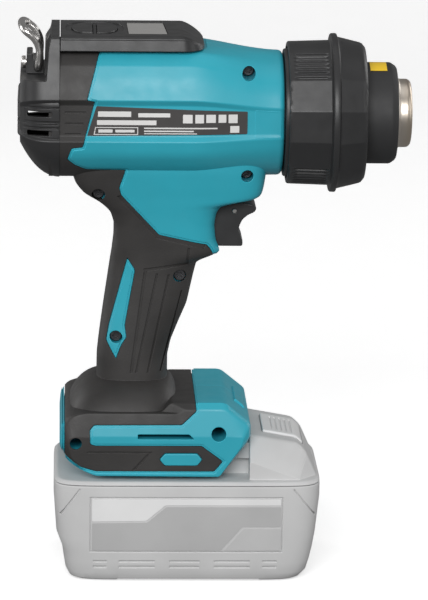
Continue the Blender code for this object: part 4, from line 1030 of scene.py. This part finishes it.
def make_trigger():
    """Trigger with its crowned finger face, on its pin."""
    outline = eased(TRIGGER_SIDE, 0.75, 2)
    left = []
    for sine, cosine in quarter_turn(5):
        y = TRIGGER_HALF_WIDTH - TRIGGER_ROUND * (1.0 - sine)
        left.append([(x, y, z) for x, z in grow(outline, -TRIGGER_ROUND * (1.0 - cosine))])
    trigger = loft("trigger_lever", both_sides(left))
    pin = pivot("trigger_pull")
    bore = rod("bore", (pin.x, -20.0, pin.z), (0, 1, 0), [(0.0, 1.1), (40.0, 1.1)])
    cut(trigger, bore)
    low, high = extent("switch_plunger")
    cut(trigger, box("pocket", (-5.0, low.y - 0.6, low.z - 2.8), (high.x + 0.9, high.y + 0.6, high.z + 1.4)))
    steps = [(0.0, 0.8), (0.2, 1.0), (18.6, 1.0), (18.8, 0.8)]
    return trigger, rod("trigger_axle", (pin.x, -9.4, pin.z), (0, 1, 0), steps)


# ---------------------------------------------------------------- battery

BATTERY_SQUARENESS = 9.0
BATTERY_POINTS = 120
BATTERY_SEAM_Z = 44.4
DECK_Z = 46.5
# Height, low x, high x and half width of the battery's tray
BATTERY_ROWS = [
    (0.0, -60.0, 37.0, 33.0), (0.5, -62.6, 39.2, 35.0), (1.2, -64.0, 40.5, 36.0), (4.2, -65.5, 43.1, 37.4),
    (9.0, -66.3, 44.5, 37.9), (14.0, -67.0, 45.6, 38.2),
    (21.0, -69.6, 46.8, 38.5), (38.0, -70.8, 48.6, 38.5), (BATTERY_SEAM_Z - 0.5, -70.8, 48.6, 38.4),
    (BATTERY_SEAM_Z, -70.6, 48.4, 38.2),
]


def battery_ring(z, low_x, high_x, half_width):
    """Rounded rectangle of the battery at one height."""
    outline = superellipse((high_x - low_x) / 2.0, half_width, BATTERY_SQUARENESS, BATTERY_POINTS)
    middle = (high_x + low_x) / 2.0
    return [(middle + u, v, z) for u, v in outline]


def battery_body(name, proud):
    """Tray's outer solid, moved outwards."""
    return loft(name, [battery_ring(z, low - proud, high + proud, width + proud)
                       for z, low, high, width in BATTERY_ROWS])


def make_battery_tray():
    """Open tray that holds the cells."""
    tray = battery_body("pack_tray", 0.0)
    inner = [battery_ring(z, low + WALL, high - WALL, width - WALL)
             for z, low, high, width in ((3.0, -64.0, 40.0, 36.0), (14.0, -66.0, 45.0, 38.0),
                                         (22.0, -68.0, 46.0, 38.4), (50.0, -70.0, 48.0, 38.4))]
    cut(tray, loft("hollow", inner))
    arch = [(-43.6, -5.0), (22.6, -5.0), (21.4, 1.2), (-42.4, 1.2)]
    cut(tray, prism("arch", eased(arch, 0.8, 3), -60.0, 60.0))
    bars = [oblong(x0, z0, x1, z1) for x0, x1 in TRAY_BARS for z0, z1 in TRAY_BAR_ROWS]
    for side in (-1, 1):
        ends = sorted((side * 20.0, side * 60.0))
        lines = [prism("line", outline, *ends) for outline in TRAY_LINES + bars]
        cut(tray, cut(joined(lines), battery_body("core", -LINE_DEPTH)))
    return tray


# Fine lines round the blank label zone of the tray, and the blank fields in it, as (x, z)
TRAY_LINES = [
    oblong(-54.6, 14.0, 31.6, 14.6), oblong(-54.6, 39.0, 31.6, 39.6),
    oblong(31.0, 14.6, 31.6, 39.0), oblong(-54.6, 14.6, -54.0, 39.0),
    [(-67.5, 30.4), (-58.6, 43.0), (-59.2, 43.3), (-68.1, 30.9)],
    [(45.8, 30.4), (45.8, 31.4), (36.6, 43.3), (36.0, 43.0)],
]
TRAY_BARS = [(-53.0, -47.0), (-41.5, -25.5), (-19.0, -5.5), (1.0, 17.0), (22.5, 29.0)]    # x ranges
TRAY_BAR_ROWS = [(6.6, 7.6), (9.2, 10.2)]                                                 # z ranges
LINE_DEPTH = 0.5
LABEL_FIELDS = {
    "label_dark": [(-53.6, 15.0), (4.0, 15.0), (13.4, 26.0), (30.6, 26.0), (30.6, 35.2), (-20.6, 35.2),
                   (-29.0, 28.0), (-53.6, 27.6)],
    "label_light": [(-53.6, 28.4), (-29.4, 28.8), (-21.0, 36.0), (30.6, 36.0), (30.6, 38.6), (-53.6, 38.6)],
    "label_grey": [(5.4, 15.0), (30.6, 15.0), (30.6, 25.2), (14.0, 25.2)],
}


def make_label_fields():
    """Blank fields of the battery's label, on both sides."""
    made = []
    for name, outline in LABEL_FIELDS.items():
        for side, end in ((-1, "right"), (1, "left")):
            ends = sorted((side * 30.0, side * 45.0))
            field = prism(f"{name}_{end}", eased(outline, 0.6, 3), *ends)
            keep(field, battery_body("outside", 0.15))
            made.append(cut(field, battery_body("inside", 0.0)))
    return made


FRONT_BLOCK_MIDDLE = [(16.6, 45.5), (16.6, 65.0), (38.0, 61.2), (42.0, 57.5), (47.4, 45.5)]
FRONT_BLOCK_SIDE = [(16.6, 45.5), (16.6, 55.0), (28.0, 50.6), (37.0, 47.6), (42.0, 45.5)]
FRONT_BLOCK_HALF_WIDTH = 34.0
FRONT_BLOCK_TOP_HALF_WIDTH = 24.0
FRONT_BLOCK_EASE = [0.5, 1.2, 1.8, 2.0, 1.0]


def front_block():
    """Block with sloping shoulders at the battery's front."""
    side, middle = [eased(outline, FRONT_BLOCK_EASE, 3) for outline in (FRONT_BLOCK_SIDE, FRONT_BLOCK_MIDDLE)]
    stations = [(-FRONT_BLOCK_HALF_WIDTH, side), (-FRONT_BLOCK_TOP_HALF_WIDTH, middle),
                (FRONT_BLOCK_TOP_HALF_WIDTH, middle), (FRONT_BLOCK_HALF_WIDTH, side)]
    outlines = [[(x, y, z) for x, z in outline] for y, outline in stations]
    columns = [eased(column, [0.0, 1.6, 1.6, 0.0], 3, closed=False) for column in zip(*outlines)]
    return loft("block", [list(ring) for ring in zip(*columns)])


def make_battery_cover():
    """Cover with the rails that slide under the foot and the block at the front."""
    rows = [(BATTERY_SEAM_Z + GAP, -70.6, 48.4, 38.2), (BATTERY_SEAM_Z + 0.7, -70.7, 48.5, 38.3),
            (DECK_Z - 0.9, -70.2, 48.1, 37.9), (DECK_Z - 0.3, -69.6, 47.6, 37.4), (DECK_Z, -68.6, 46.8, 36.6)]
    cover = loft("pack_cover", [battery_ring(*row) for row in rows])
    unite(cover, box("rail", (RAIL_REAR_X, -22.3, 44.9), (17.0, 22.3, 61.5)))
    unite(cover, box("lip", (RAIL_REAR_X, -25.7, 54.3), (17.0, 25.7, 61.5)))
    unite(cover, front_block())
    low, high = extent("battery_release_button")
    cut(cover, box("pocket", (low.x - GAP, low.y - GAP, 48.0), (high.x + GAP, high.y + GAP, 80.0)))
    for y in (-7.0, 7.0):
        cut(cover, box("slot", (-70.0, y - 1.4, 52.0), (-17.0, y + 1.4, 70.0)))
    return cut(cover, box("room", (-52.0, -19.0, 40.0), (12.0, 19.0, 60.0)))


KEY_ROUND = 0.8        # radius of the release button's side edges


def make_battery_button():
    """Release button in the front block, following its slope."""
    low, high = extent("battery_release_button")
    side = [(low.x, low.z), (low.x, high.z), (38.0, 62.2), (high.x, 59.4), (high.x, low.z)]
    eases = [0.2, 0.7, 1.5, 1.0, 0.2]
    left = []
    for sine, cosine in quarter_turn(3):
        y = high.y - KEY_ROUND * (1.0 - sine)
        edge = grow(side, -KEY_ROUND * (1.0 - cosine))
        left.append([(x, y, z) for x, z in eased(edge, eases, 3)])
    button = loft("release_key", both_sides(left))
    for k in range(5):
        x = low.x + 4.0 + 2.2 * k
        groove = [(x, 70.0), (x, 55.0), (x + 0.7, 55.0), (x + 0.7, 70.0)]
        slope = [(low.x - 1.0, 40.0), (low.x - 1.0, high.z - 0.25), (38.0, 61.6), (60.0, 50.0), (60.0, 40.0)]
        tool = cut(prism("groove", groove, -11.0, 11.0), prism("under", slope, -20.0, 20.0))
        cut(button, tool)
    return button


# ---------------------------------------------------------------- materials

class Nodes:
    """Material under construction, with short calls for its nodes."""

    def __init__(self, name):
        self.material = bpy.data.materials.new(name)
        self.material.use_nodes = True
        self.tree = self.material.node_tree
        self.shader = self.tree.nodes["Principled BSDF"]
        self.place = self.add("ShaderNodeTexCoord").outputs["Object"]

    def add(self, kind, **values):
        """New node; each value is a property of the node or the default of one of its inputs."""
        node = self.tree.nodes.new(kind)
        for key, value in values.items():
            title = key.replace("_", " ").title()
            if title in node.inputs:
                node.inputs[title].default_value = value
            else:
                setattr(node, key, value)
        return node

    def join(self, output, socket):
        """Link an output to a socket, or to an input of the shader by name."""
        self.tree.links.new(output, self.shader.inputs[socket] if isinstance(socket, str) else socket)

    def noise(self, scale, detail=2.0, stretch=(1.0, 1.0, 1.0)):
        """Noise over the object's own coordinates."""
        source = self.add("ShaderNodeTexNoise", scale=scale, detail=detail)
        mapping = self.add("ShaderNodeMapping")
        mapping.inputs["Scale"].default_value = stretch
        self.join(self.place, mapping.inputs["Vector"])
        self.join(mapping.outputs["Vector"], source.inputs["Vector"])
        return source.outputs["Fac"]

    def spread(self, source, low, high):
        """Value from low to high as the source goes through the middle of its range."""
        node = self.add("ShaderNodeMapRange", from_min=0.3, from_max=0.7, to_min=low, to_max=high)
        self.join(source, node.inputs["Value"])
        return node.outputs["Result"]

    def uneven(self, scale, first, second, detail=2.0):
        """Colour that wanders between two as the object's coordinates change."""
        return self.mix(first, second, self.spread(self.noise(scale, detail), 0.0, 1.0))

    def sheen(self, scale, low, high, detail=2.0, stretch=(1.0, 1.0, 1.0)):
        """Roughness that wanders from low to high."""
        self.join(self.spread(self.noise(scale, detail, stretch), low, high), "Roughness")

    def mix(self, first, second, share):
        """Colour between two colours, given or made by a node, by a share."""
        node = self.add("ShaderNodeMix", data_type="RGBA")
        ends = [socket for socket in node.inputs if socket.type == "RGBA"]
        for socket, colour in zip(ends, (first, second)):
            if isinstance(colour, bpy.types.NodeSocket):
                self.join(colour, socket)
            else:
                socket.default_value = (*colour, 1.0)
        self.join(share, node.inputs["Factor"])
        return next(output for output in node.outputs if output.type == "RGBA")

    def surface(self, height, depth, edge):
        """Bump from a height of some depth in millimetres, over edges eased by a radius."""
        bevel = self.add("ShaderNodeBevel", samples=6)
        bevel.inputs["Radius"].default_value = edge * MM
        bump = self.add("ShaderNodeBump")
        bump.inputs["Strength"].default_value = 1.0
        bump.inputs["Distance"].default_value = depth * MM
        self.join(height, bump.inputs["Height"])
        self.join(bevel.outputs["Normal"], bump.inputs["Normal"])
        self.join(bump.outputs["Normal"], "Normal")
        return bevel.outputs["Normal"]

    def edges(self, eased_normal, gain):
        """Share that rises from nought on a flat face to one on an edge."""
        geometry = self.add("ShaderNodeNewGeometry")
        dot = self.add("ShaderNodeVectorMath", operation="DOT_PRODUCT")
        self.join(geometry.outputs["True Normal"], dot.inputs[0])
        self.join(eased_normal, dot.inputs[1])
        node = self.add("ShaderNodeMapRange", from_min=1.0, from_max=1.0 - 1.0 / gain)
        self.join(dot.outputs["Value"], node.inputs["Value"])
        return node.outputs["Result"]


def shade(colour, factor):
    """Colour made lighter or darker."""
    return tuple(min(channel * factor, 1.0) for channel in colour)


def plastic(name, colour, roughness, grain=(0.35, 0.012), tone=0.08, edge=0.35, edge_highlight_gain=1.35):
    """Moulded material: fine grain, uneven tone and sheen, and a painted highlight that makes its edges
    paler.

    The grain is its size and depth in millimetres.
    """
    nodes = Nodes(name)
    eased_normal = nodes.surface(nodes.noise(1.0 / (grain[0] * MM), 3.0), grain[1], edge)
    body = nodes.uneven(45.0, shade(colour, 1.0 - tone), shade(colour, 1.0 + tone), 3.0)
    # painted highlight: the colour turns paler towards eased edges, standing in for light caught on them
    edge_highlighted = nodes.mix(body, shade(colour, edge_highlight_gain), nodes.edges(eased_normal, 4.0))
    nodes.join(edge_highlighted, "Base Color")
    nodes.sheen(160.0, roughness - 0.04, roughness + 0.05)
    return nodes.material


def metal(name, colour, roughness, brushed=(1.0, 1.0, 1.0), scratch=0.004, edge=0.15, tint=None):
    """Metal with brushing stretched along an axis; a tint colours it towards its hot end."""
    nodes = Nodes(name)
    nodes.surface(nodes.noise(900.0, 4.0, brushed), scratch, edge)
    body = nodes.uneven(60.0, shade(colour, 0.92), shade(colour, 1.05), 3.0)
    if tint:
        split = nodes.add("ShaderNodeSeparateXYZ")
        nodes.join(nodes.place, split.inputs["Vector"])
        fade = nodes.add("ShaderNodeMapRange", from_min=0.080, from_max=0.089)
        nodes.join(split.outputs["X"], fade.inputs["Value"])
        body = nodes.mix(body, tint, fade.outputs["Result"])
    nodes.join(body, "Base Color")
    nodes.sheen(500.0, roughness - 0.05, roughness + 0.07, 3.0, brushed)
    nodes.shader.inputs["Metallic"].default_value = 1.0
    return nodes.material


def circuit_board(name):
    """Green lacquered board with a grid of copper tracks and pads."""
    nodes = Nodes(name)
    nodes.surface(nodes.noise(3000.0, 2.0), 0.01, 0.1)
    tracks = nodes.add("ShaderNodeTexBrick", scale=260.0, mortar_size=0.03)
    nodes.join(nodes.place, tracks.inputs["Vector"])
    lacquer = nodes.uneven(70.0, (0.008, 0.085, 0.035), (0.014, 0.13, 0.05))
    nodes.join(nodes.mix(lacquer, (0.20, 0.30, 0.10), tracks.outputs["Fac"]), "Base Color")
    nodes.sheen(400.0, 0.3, 0.45)
    return nodes.material


def display_lens(name):
    """Clear lens over a pale unlit display with its faint segment grid."""
    nodes = Nodes(name)
    nodes.surface(nodes.noise(900.0, 2.0), 0.001, 0.25)
    grid = nodes.add("ShaderNodeTexBrick", scale=420.0, mortar_size=0.02)
    nodes.join(nodes.place, grid.inputs["Vector"])
    pale = nodes.uneven(40.0, (0.44, 0.43, 0.41), (0.50, 0.49, 0.47))
    nodes.join(nodes.mix(pale, (0.40, 0.39, 0.38), grid.outputs["Fac"]), "Base Color")
    nodes.sheen(200.0, 0.12, 0.2)
    nodes.shader.inputs["Coat Weight"].default_value = 0.4
    return nodes.material


TEAL = (0.028, 0.385, 0.490)
HOT_STEEL = (0.66, 0.55, 0.42)
FINISH = {
    "teal_plastic": plastic("satin_teal", TEAL, 0.40, (0.30, 0.006), 0.04, 0.45, 1.6),
    "black_overmould": plastic("soft_black", (0.033, 0.031, 0.030), 0.54, (0.80, 0.060), 0.22, 0.30, 1.7),
    "black_plastic": plastic("satin_black", (0.026, 0.026, 0.027), 0.40, (0.30, 0.010), 0.10, 0.35, 1.8),
    "nozzle_steel": metal("turned_steel", (0.80, 0.75, 0.69), 0.34, (12.0, 0.4, 0.4), tint=HOT_STEEL),
    "polished_steel": metal("plated_steel", (0.80, 0.78, 0.76), 0.20, scratch=0.001, edge=0.02),
    "screw_steel": metal("blackened_steel", (0.09, 0.09, 0.095), 0.42, scratch=0.004),
    "display_lens": display_lens("display_glass"),
    "nameplate_film": plastic("printed_film", (0.060, 0.056, 0.055), 0.36, (0.5, 0.003), 0.06, 0.1, 1.3),
    "yellow_label": plastic("yellow_film", (0.95, 0.62, 0.03), 0.42, (0.5, 0.003), 0.04, 0.05, 1.1),
    "grey_plastic": plastic("pale_grey", (0.60, 0.60, 0.60), 0.52, (0.30, 0.010), 0.04, 0.5, 1.3),
    "light_grey_plastic": plastic("light_grey", (0.78, 0.78, 0.78), 0.5, (0.30, 0.008), 0.03, 0.4, 1.2),
    "circuit_board": circuit_board("lacquered_board"),
    "copper_contact": metal("tinned_copper", (0.72, 0.38, 0.18), 0.3),
    "red_plastic": plastic("red_sleeve", (0.50, 0.02, 0.02), 0.45, (0.3, 0.004), 0.08, 0.2, 1.4),
    "mica_board": plastic("pressed_mica", (0.55, 0.43, 0.25), 0.55, (1.6, 0.03), 0.25, 0.2, 1.3),
    "heater_ceramic": plastic("fired_ceramic", (0.78, 0.75, 0.68), 0.8, (0.6, 0.03), 0.08, 0.3, 1.1),
    "cell_sleeve": plastic("cell_wrap", (0.05, 0.2, 0.45), 0.35, (0.4, 0.004), 0.10, 0.3, 1.3),
    "fan_plastic": plastic("fan_nylon", (0.12, 0.12, 0.13), 0.45, (0.3, 0.008), 0.10, 0.3, 1.5),
}
MATT_BLACK = plastic("matt_black", (0.026, 0.026, 0.027), 0.62, (0.30, 0.010), 0.10, 0.35, 1.8)
WHITE_INK = plastic("white_print", (0.74, 0.73, 0.72), 0.4, (0.4, 0.002), 0.05, 0.03, 1.1)
LABEL_TONES = {
    "label_dark": plastic("label_grey_dark", (0.48, 0.48, 0.48), 0.4, (0.4, 0.003), 0.04, 0.05, 1.2),
    "label_light": plastic("label_grey_light", (0.80, 0.80, 0.80), 0.4, (0.4, 0.003), 0.03, 0.05, 1.1),
    "label_grey": plastic("label_grey_middle", (0.55, 0.55, 0.55), 0.4, (0.4, 0.003), 0.04, 0.05, 1.2),
}

# ---------------------------------------------------------------- putting the pieces in place

SHARP_ANGLE = math.radians(32.0)
BEVEL_ANGLE = math.radians(40.0)
NODE_BEVEL = 0.15


def place(piece, body, slot, nodes=(), finish=None):
    """Give a finished piece its shading, material and body, and hide the nodes it stands for."""
    piece.data.materials.clear()
    piece.data.materials.append(finish or FINISH[slot])
    piece.data.shade_smooth()
    piece.data.set_sharp_from_angle(angle=SHARP_ANGLE)
    weighted = piece.modifiers.new("weighted", "WEIGHTED_NORMAL")
    weighted.keep_sharp = True
    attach(piece, body)
    if nodes:
        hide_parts(*nodes)


def place_housing():
    """Everything that is fixed to the housing."""
    for piece, node in zip(make_housing(), ("housing_right", "housing_left")):
        place(piece, "housing", "teal_plastic", [node])
    for piece, node in zip(make_overmould(), ("overmould_right", "overmould_left")):
        place(piece, "housing", "black_overmould", [node])
    place(make_badge(), "housing", "teal_plastic", ["foot_badge"])
    for name in SCREWS:
        place(make_screw(name), "housing", "screw_steel", [name])
    place(make_rear_cover(), "housing", "black_plastic", ["rear_cover"])
    panel, window = make_panel()
    place(panel, "housing", "black_plastic", ["control_panel"])
    place(window, "housing", "display_lens", ["display_window"])
    plate, marks = make_nameplate()
    place(plate, "housing", "nameplate_film", ["nameplate"])
    place(marks, "housing", "nameplate_film", finish=WHITE_INK)
    hook, bracket, screw = make_hook()
    place(hook, "hook", "polished_steel", ["hook"])
    place(bracket, "housing", "black_plastic", ["hook_bracket"])
    place(screw, "housing", "polished_steel", ["hook_screw"])
    tube, pipe, label = make_front_tubes()
    place(tube, "housing", "black_plastic", ["barrel_sleeve"], MATT_BLACK)
    place(pipe, "housing", "nozzle_steel", ["nozzle"])
    place(label, "housing", "yellow_label", ["barrel_label"])


def place_moving():
    """Pieces that move on the housing."""
    place(make_shield(), "shield", "black_plastic", ["heat_shield"])
    place(make_lock_ring(), "lock_ring", "black_plastic", ["shield_lock_ring"])
    for name, body in (("temperature_up_button", "up_button"), ("temperature_down_button", "down_button")):
        place(make_button(name), body, "black_plastic", [name])
    trigger, pin = make_trigger()
    place(trigger, "trigger", "black_plastic", ["trigger"])
    place(pin, "housing", "polished_steel", ["trigger_pin"])


def place_battery():
    """Battery with its cover, release button and blank label."""
    place(make_battery_tray(), "battery", "grey_plastic", ["battery_case_lower"])
    place(make_battery_cover(), "battery", "grey_plastic", ["battery_case_upper"])
    place(make_battery_button(), "release_button", "light_grey_plastic", ["battery_release_button"])
    for field in make_label_fields():
        place(field, "battery", "grey_plastic", finish=LABEL_TONES[field.name.rsplit("_", 1)[0]])


def dress_inner_nodes():
    """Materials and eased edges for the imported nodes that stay."""
    by_node = {part["node"]: part["material_slot"] for part in frame["record"]["subparts"]}
    for name, node in frame["nodes"].items():
        if node.hide_render:
            continue
        node.data.materials.clear()
        node.data.materials.append(FINISH[by_node[name]])
        bevel = node.modifiers.new("eased", "BEVEL")
        bevel.width = NODE_BEVEL * MM
        bevel.segments = 2
        bevel.limit_method = "ANGLE"
        bevel.angle_limit = BEVEL_ANGLE


# ---------------------------------------------------------------- floor, light and camera

# Lengths in this section are in metres
FLOOR_FRONT_Y = -3.0
FLOOR_BEND_Y = 1.2
FLOOR_BEND_R = 1.0
FLOOR_STEPS = 12
FLOOR_HALF_WIDTH = 4.0
FLOOR_GLOW = 0.46
BACKDROP_TOP_Z = 4.0
# Position, width, height and power in watts
LIGHTS = {
    "key_light": ((-0.25, -1.7, 0.95), 1.3, 0.8, 27.0),
    "top_light": ((0.1, 0.1, 1.7), 1.6, 1.0, 3.0),
    "left_light": ((-1.6, -0.5, 0.6), 0.9, 1.3, 5.0),
    "right_light": ((1.6, -0.6, 0.7), 0.9, 1.3, 5.0),
    "back_left_light": ((-1.5, 1.1, 0.6), 0.9, 1.2, 7.0),
    "back_right_light": ((1.5, 1.1, 0.6), 0.9, 1.2, 7.0),
}
SURROUND = 0.18        # strength of the light from all round
CAMERA_TARGET = Vector((0.001, 0.0, 0.121))
CAMERA_DISTANCE = 1.8
CAMERA_AZIMUTH = math.radians(-2.3)
CAMERA_ELEVATION = math.radians(13.0)
CAMERA_ROLL = math.radians(0.75)
CAMERA_LENS = 240.0        # millimetres
CAMERA_SENSOR = 36.0


def make_floor():
    """Pale floor that curves up into a backdrop."""
    section = [(FLOOR_FRONT_Y, 0.0), (FLOOR_BEND_Y, 0.0)]
    for sine, cosine in quarter_turn(FLOOR_STEPS)[1:]:
        section.append((FLOOR_BEND_Y + FLOOR_BEND_R * sine, FLOOR_BEND_R * (1.0 - cosine)))
    section.append((FLOOR_BEND_Y + FLOOR_BEND_R, BACKDROP_TOP_Z))
    bm = bmesh.new()
    sides = (-FLOOR_HALF_WIDTH, FLOOR_HALF_WIDTH)
    columns = [[bm.verts.new((x, y, z)) for y, z in section] for x in sides]
    for k in range(len(section) - 1):
        bm.faces.new((columns[0][k], columns[1][k], columns[1][k + 1], columns[0][k + 1]))
    mesh = bpy.data.meshes.new("floor")
    bm.to_mesh(mesh)
    bm.free()
    mesh.shade_smooth()
    floor = in_scene("floor", mesh)
    paper = plastic("paper_white", (0.90, 0.90, 0.90), 0.9, (2.0, 0.01), 0.01, 0.1, 1.0)
    glow = paper.node_tree.nodes["Principled BSDF"].inputs
    glow["Emission Color"].default_value = (1.0, 1.0, 1.0, 1.0)
    glow["Emission Strength"].default_value = FLOOR_GLOW
    mesh.materials.append(paper)
    floor.visible_glossy = False
    floor.visible_diffuse = False


def soft_light(name, position, width, height, power):
    """Rectangular soft white light aimed at the tool."""
    light = bpy.data.lights.new(name, "AREA")
    light.shape = "RECTANGLE"
    light.size = width
    light.size_y = height
    light.energy = power
    item = in_scene(name, light)
    item.location = position
    item.rotation_euler = (CAMERA_TARGET - Vector(position)).to_track_quat("-Z", "Y").to_euler()


def make_lights():
    """Large soft boxes all round, and a pale surround."""
    for name, values in LIGHTS.items():
        soft_light(name, *values)
    world = bpy.data.worlds.new("surround")
    world.use_nodes = True
    background = world.node_tree.nodes["Background"]
    background.inputs["Color"].default_value = (1.0, 1.0, 1.0, 1.0)
    background.inputs["Strength"].default_value = SURROUND
    bpy.context.scene.world = world


def make_camera():
    """Camera at the side of the tool, a little above it."""
    back = Vector((math.sin(CAMERA_AZIMUTH) * math.cos(CAMERA_ELEVATION),
                   -math.cos(CAMERA_AZIMUTH) * math.cos(CAMERA_ELEVATION), math.sin(CAMERA_ELEVATION)))
    right = Vector((math.cos(CAMERA_AZIMUTH), math.sin(CAMERA_AZIMUTH), 0.0))
    up = back.cross(right)
    across = right * math.cos(CAMERA_ROLL) + up * math.sin(CAMERA_ROLL)
    upward = up * math.cos(CAMERA_ROLL) - right * math.sin(CAMERA_ROLL)
    lens = bpy.data.cameras.new("camera")
    lens.lens = CAMERA_LENS
    lens.sensor_width = CAMERA_SENSOR
    lens.clip_end = 20.0
    camera = in_scene("camera", lens)
    turn = Matrix((across, upward, back)).transposed()
    camera.matrix_world = Matrix.Translation(CAMERA_TARGET + back * CAMERA_DISTANCE) @ turn.to_4x4()
    bpy.context.scene.camera = camera


place_housing()
place_moving()
place_battery()
dress_inner_nodes()
drop(*shapes.values())
make_floor()
make_lights()
make_camera()
bpy.context.scene.view_settings.view_transform = "Standard"
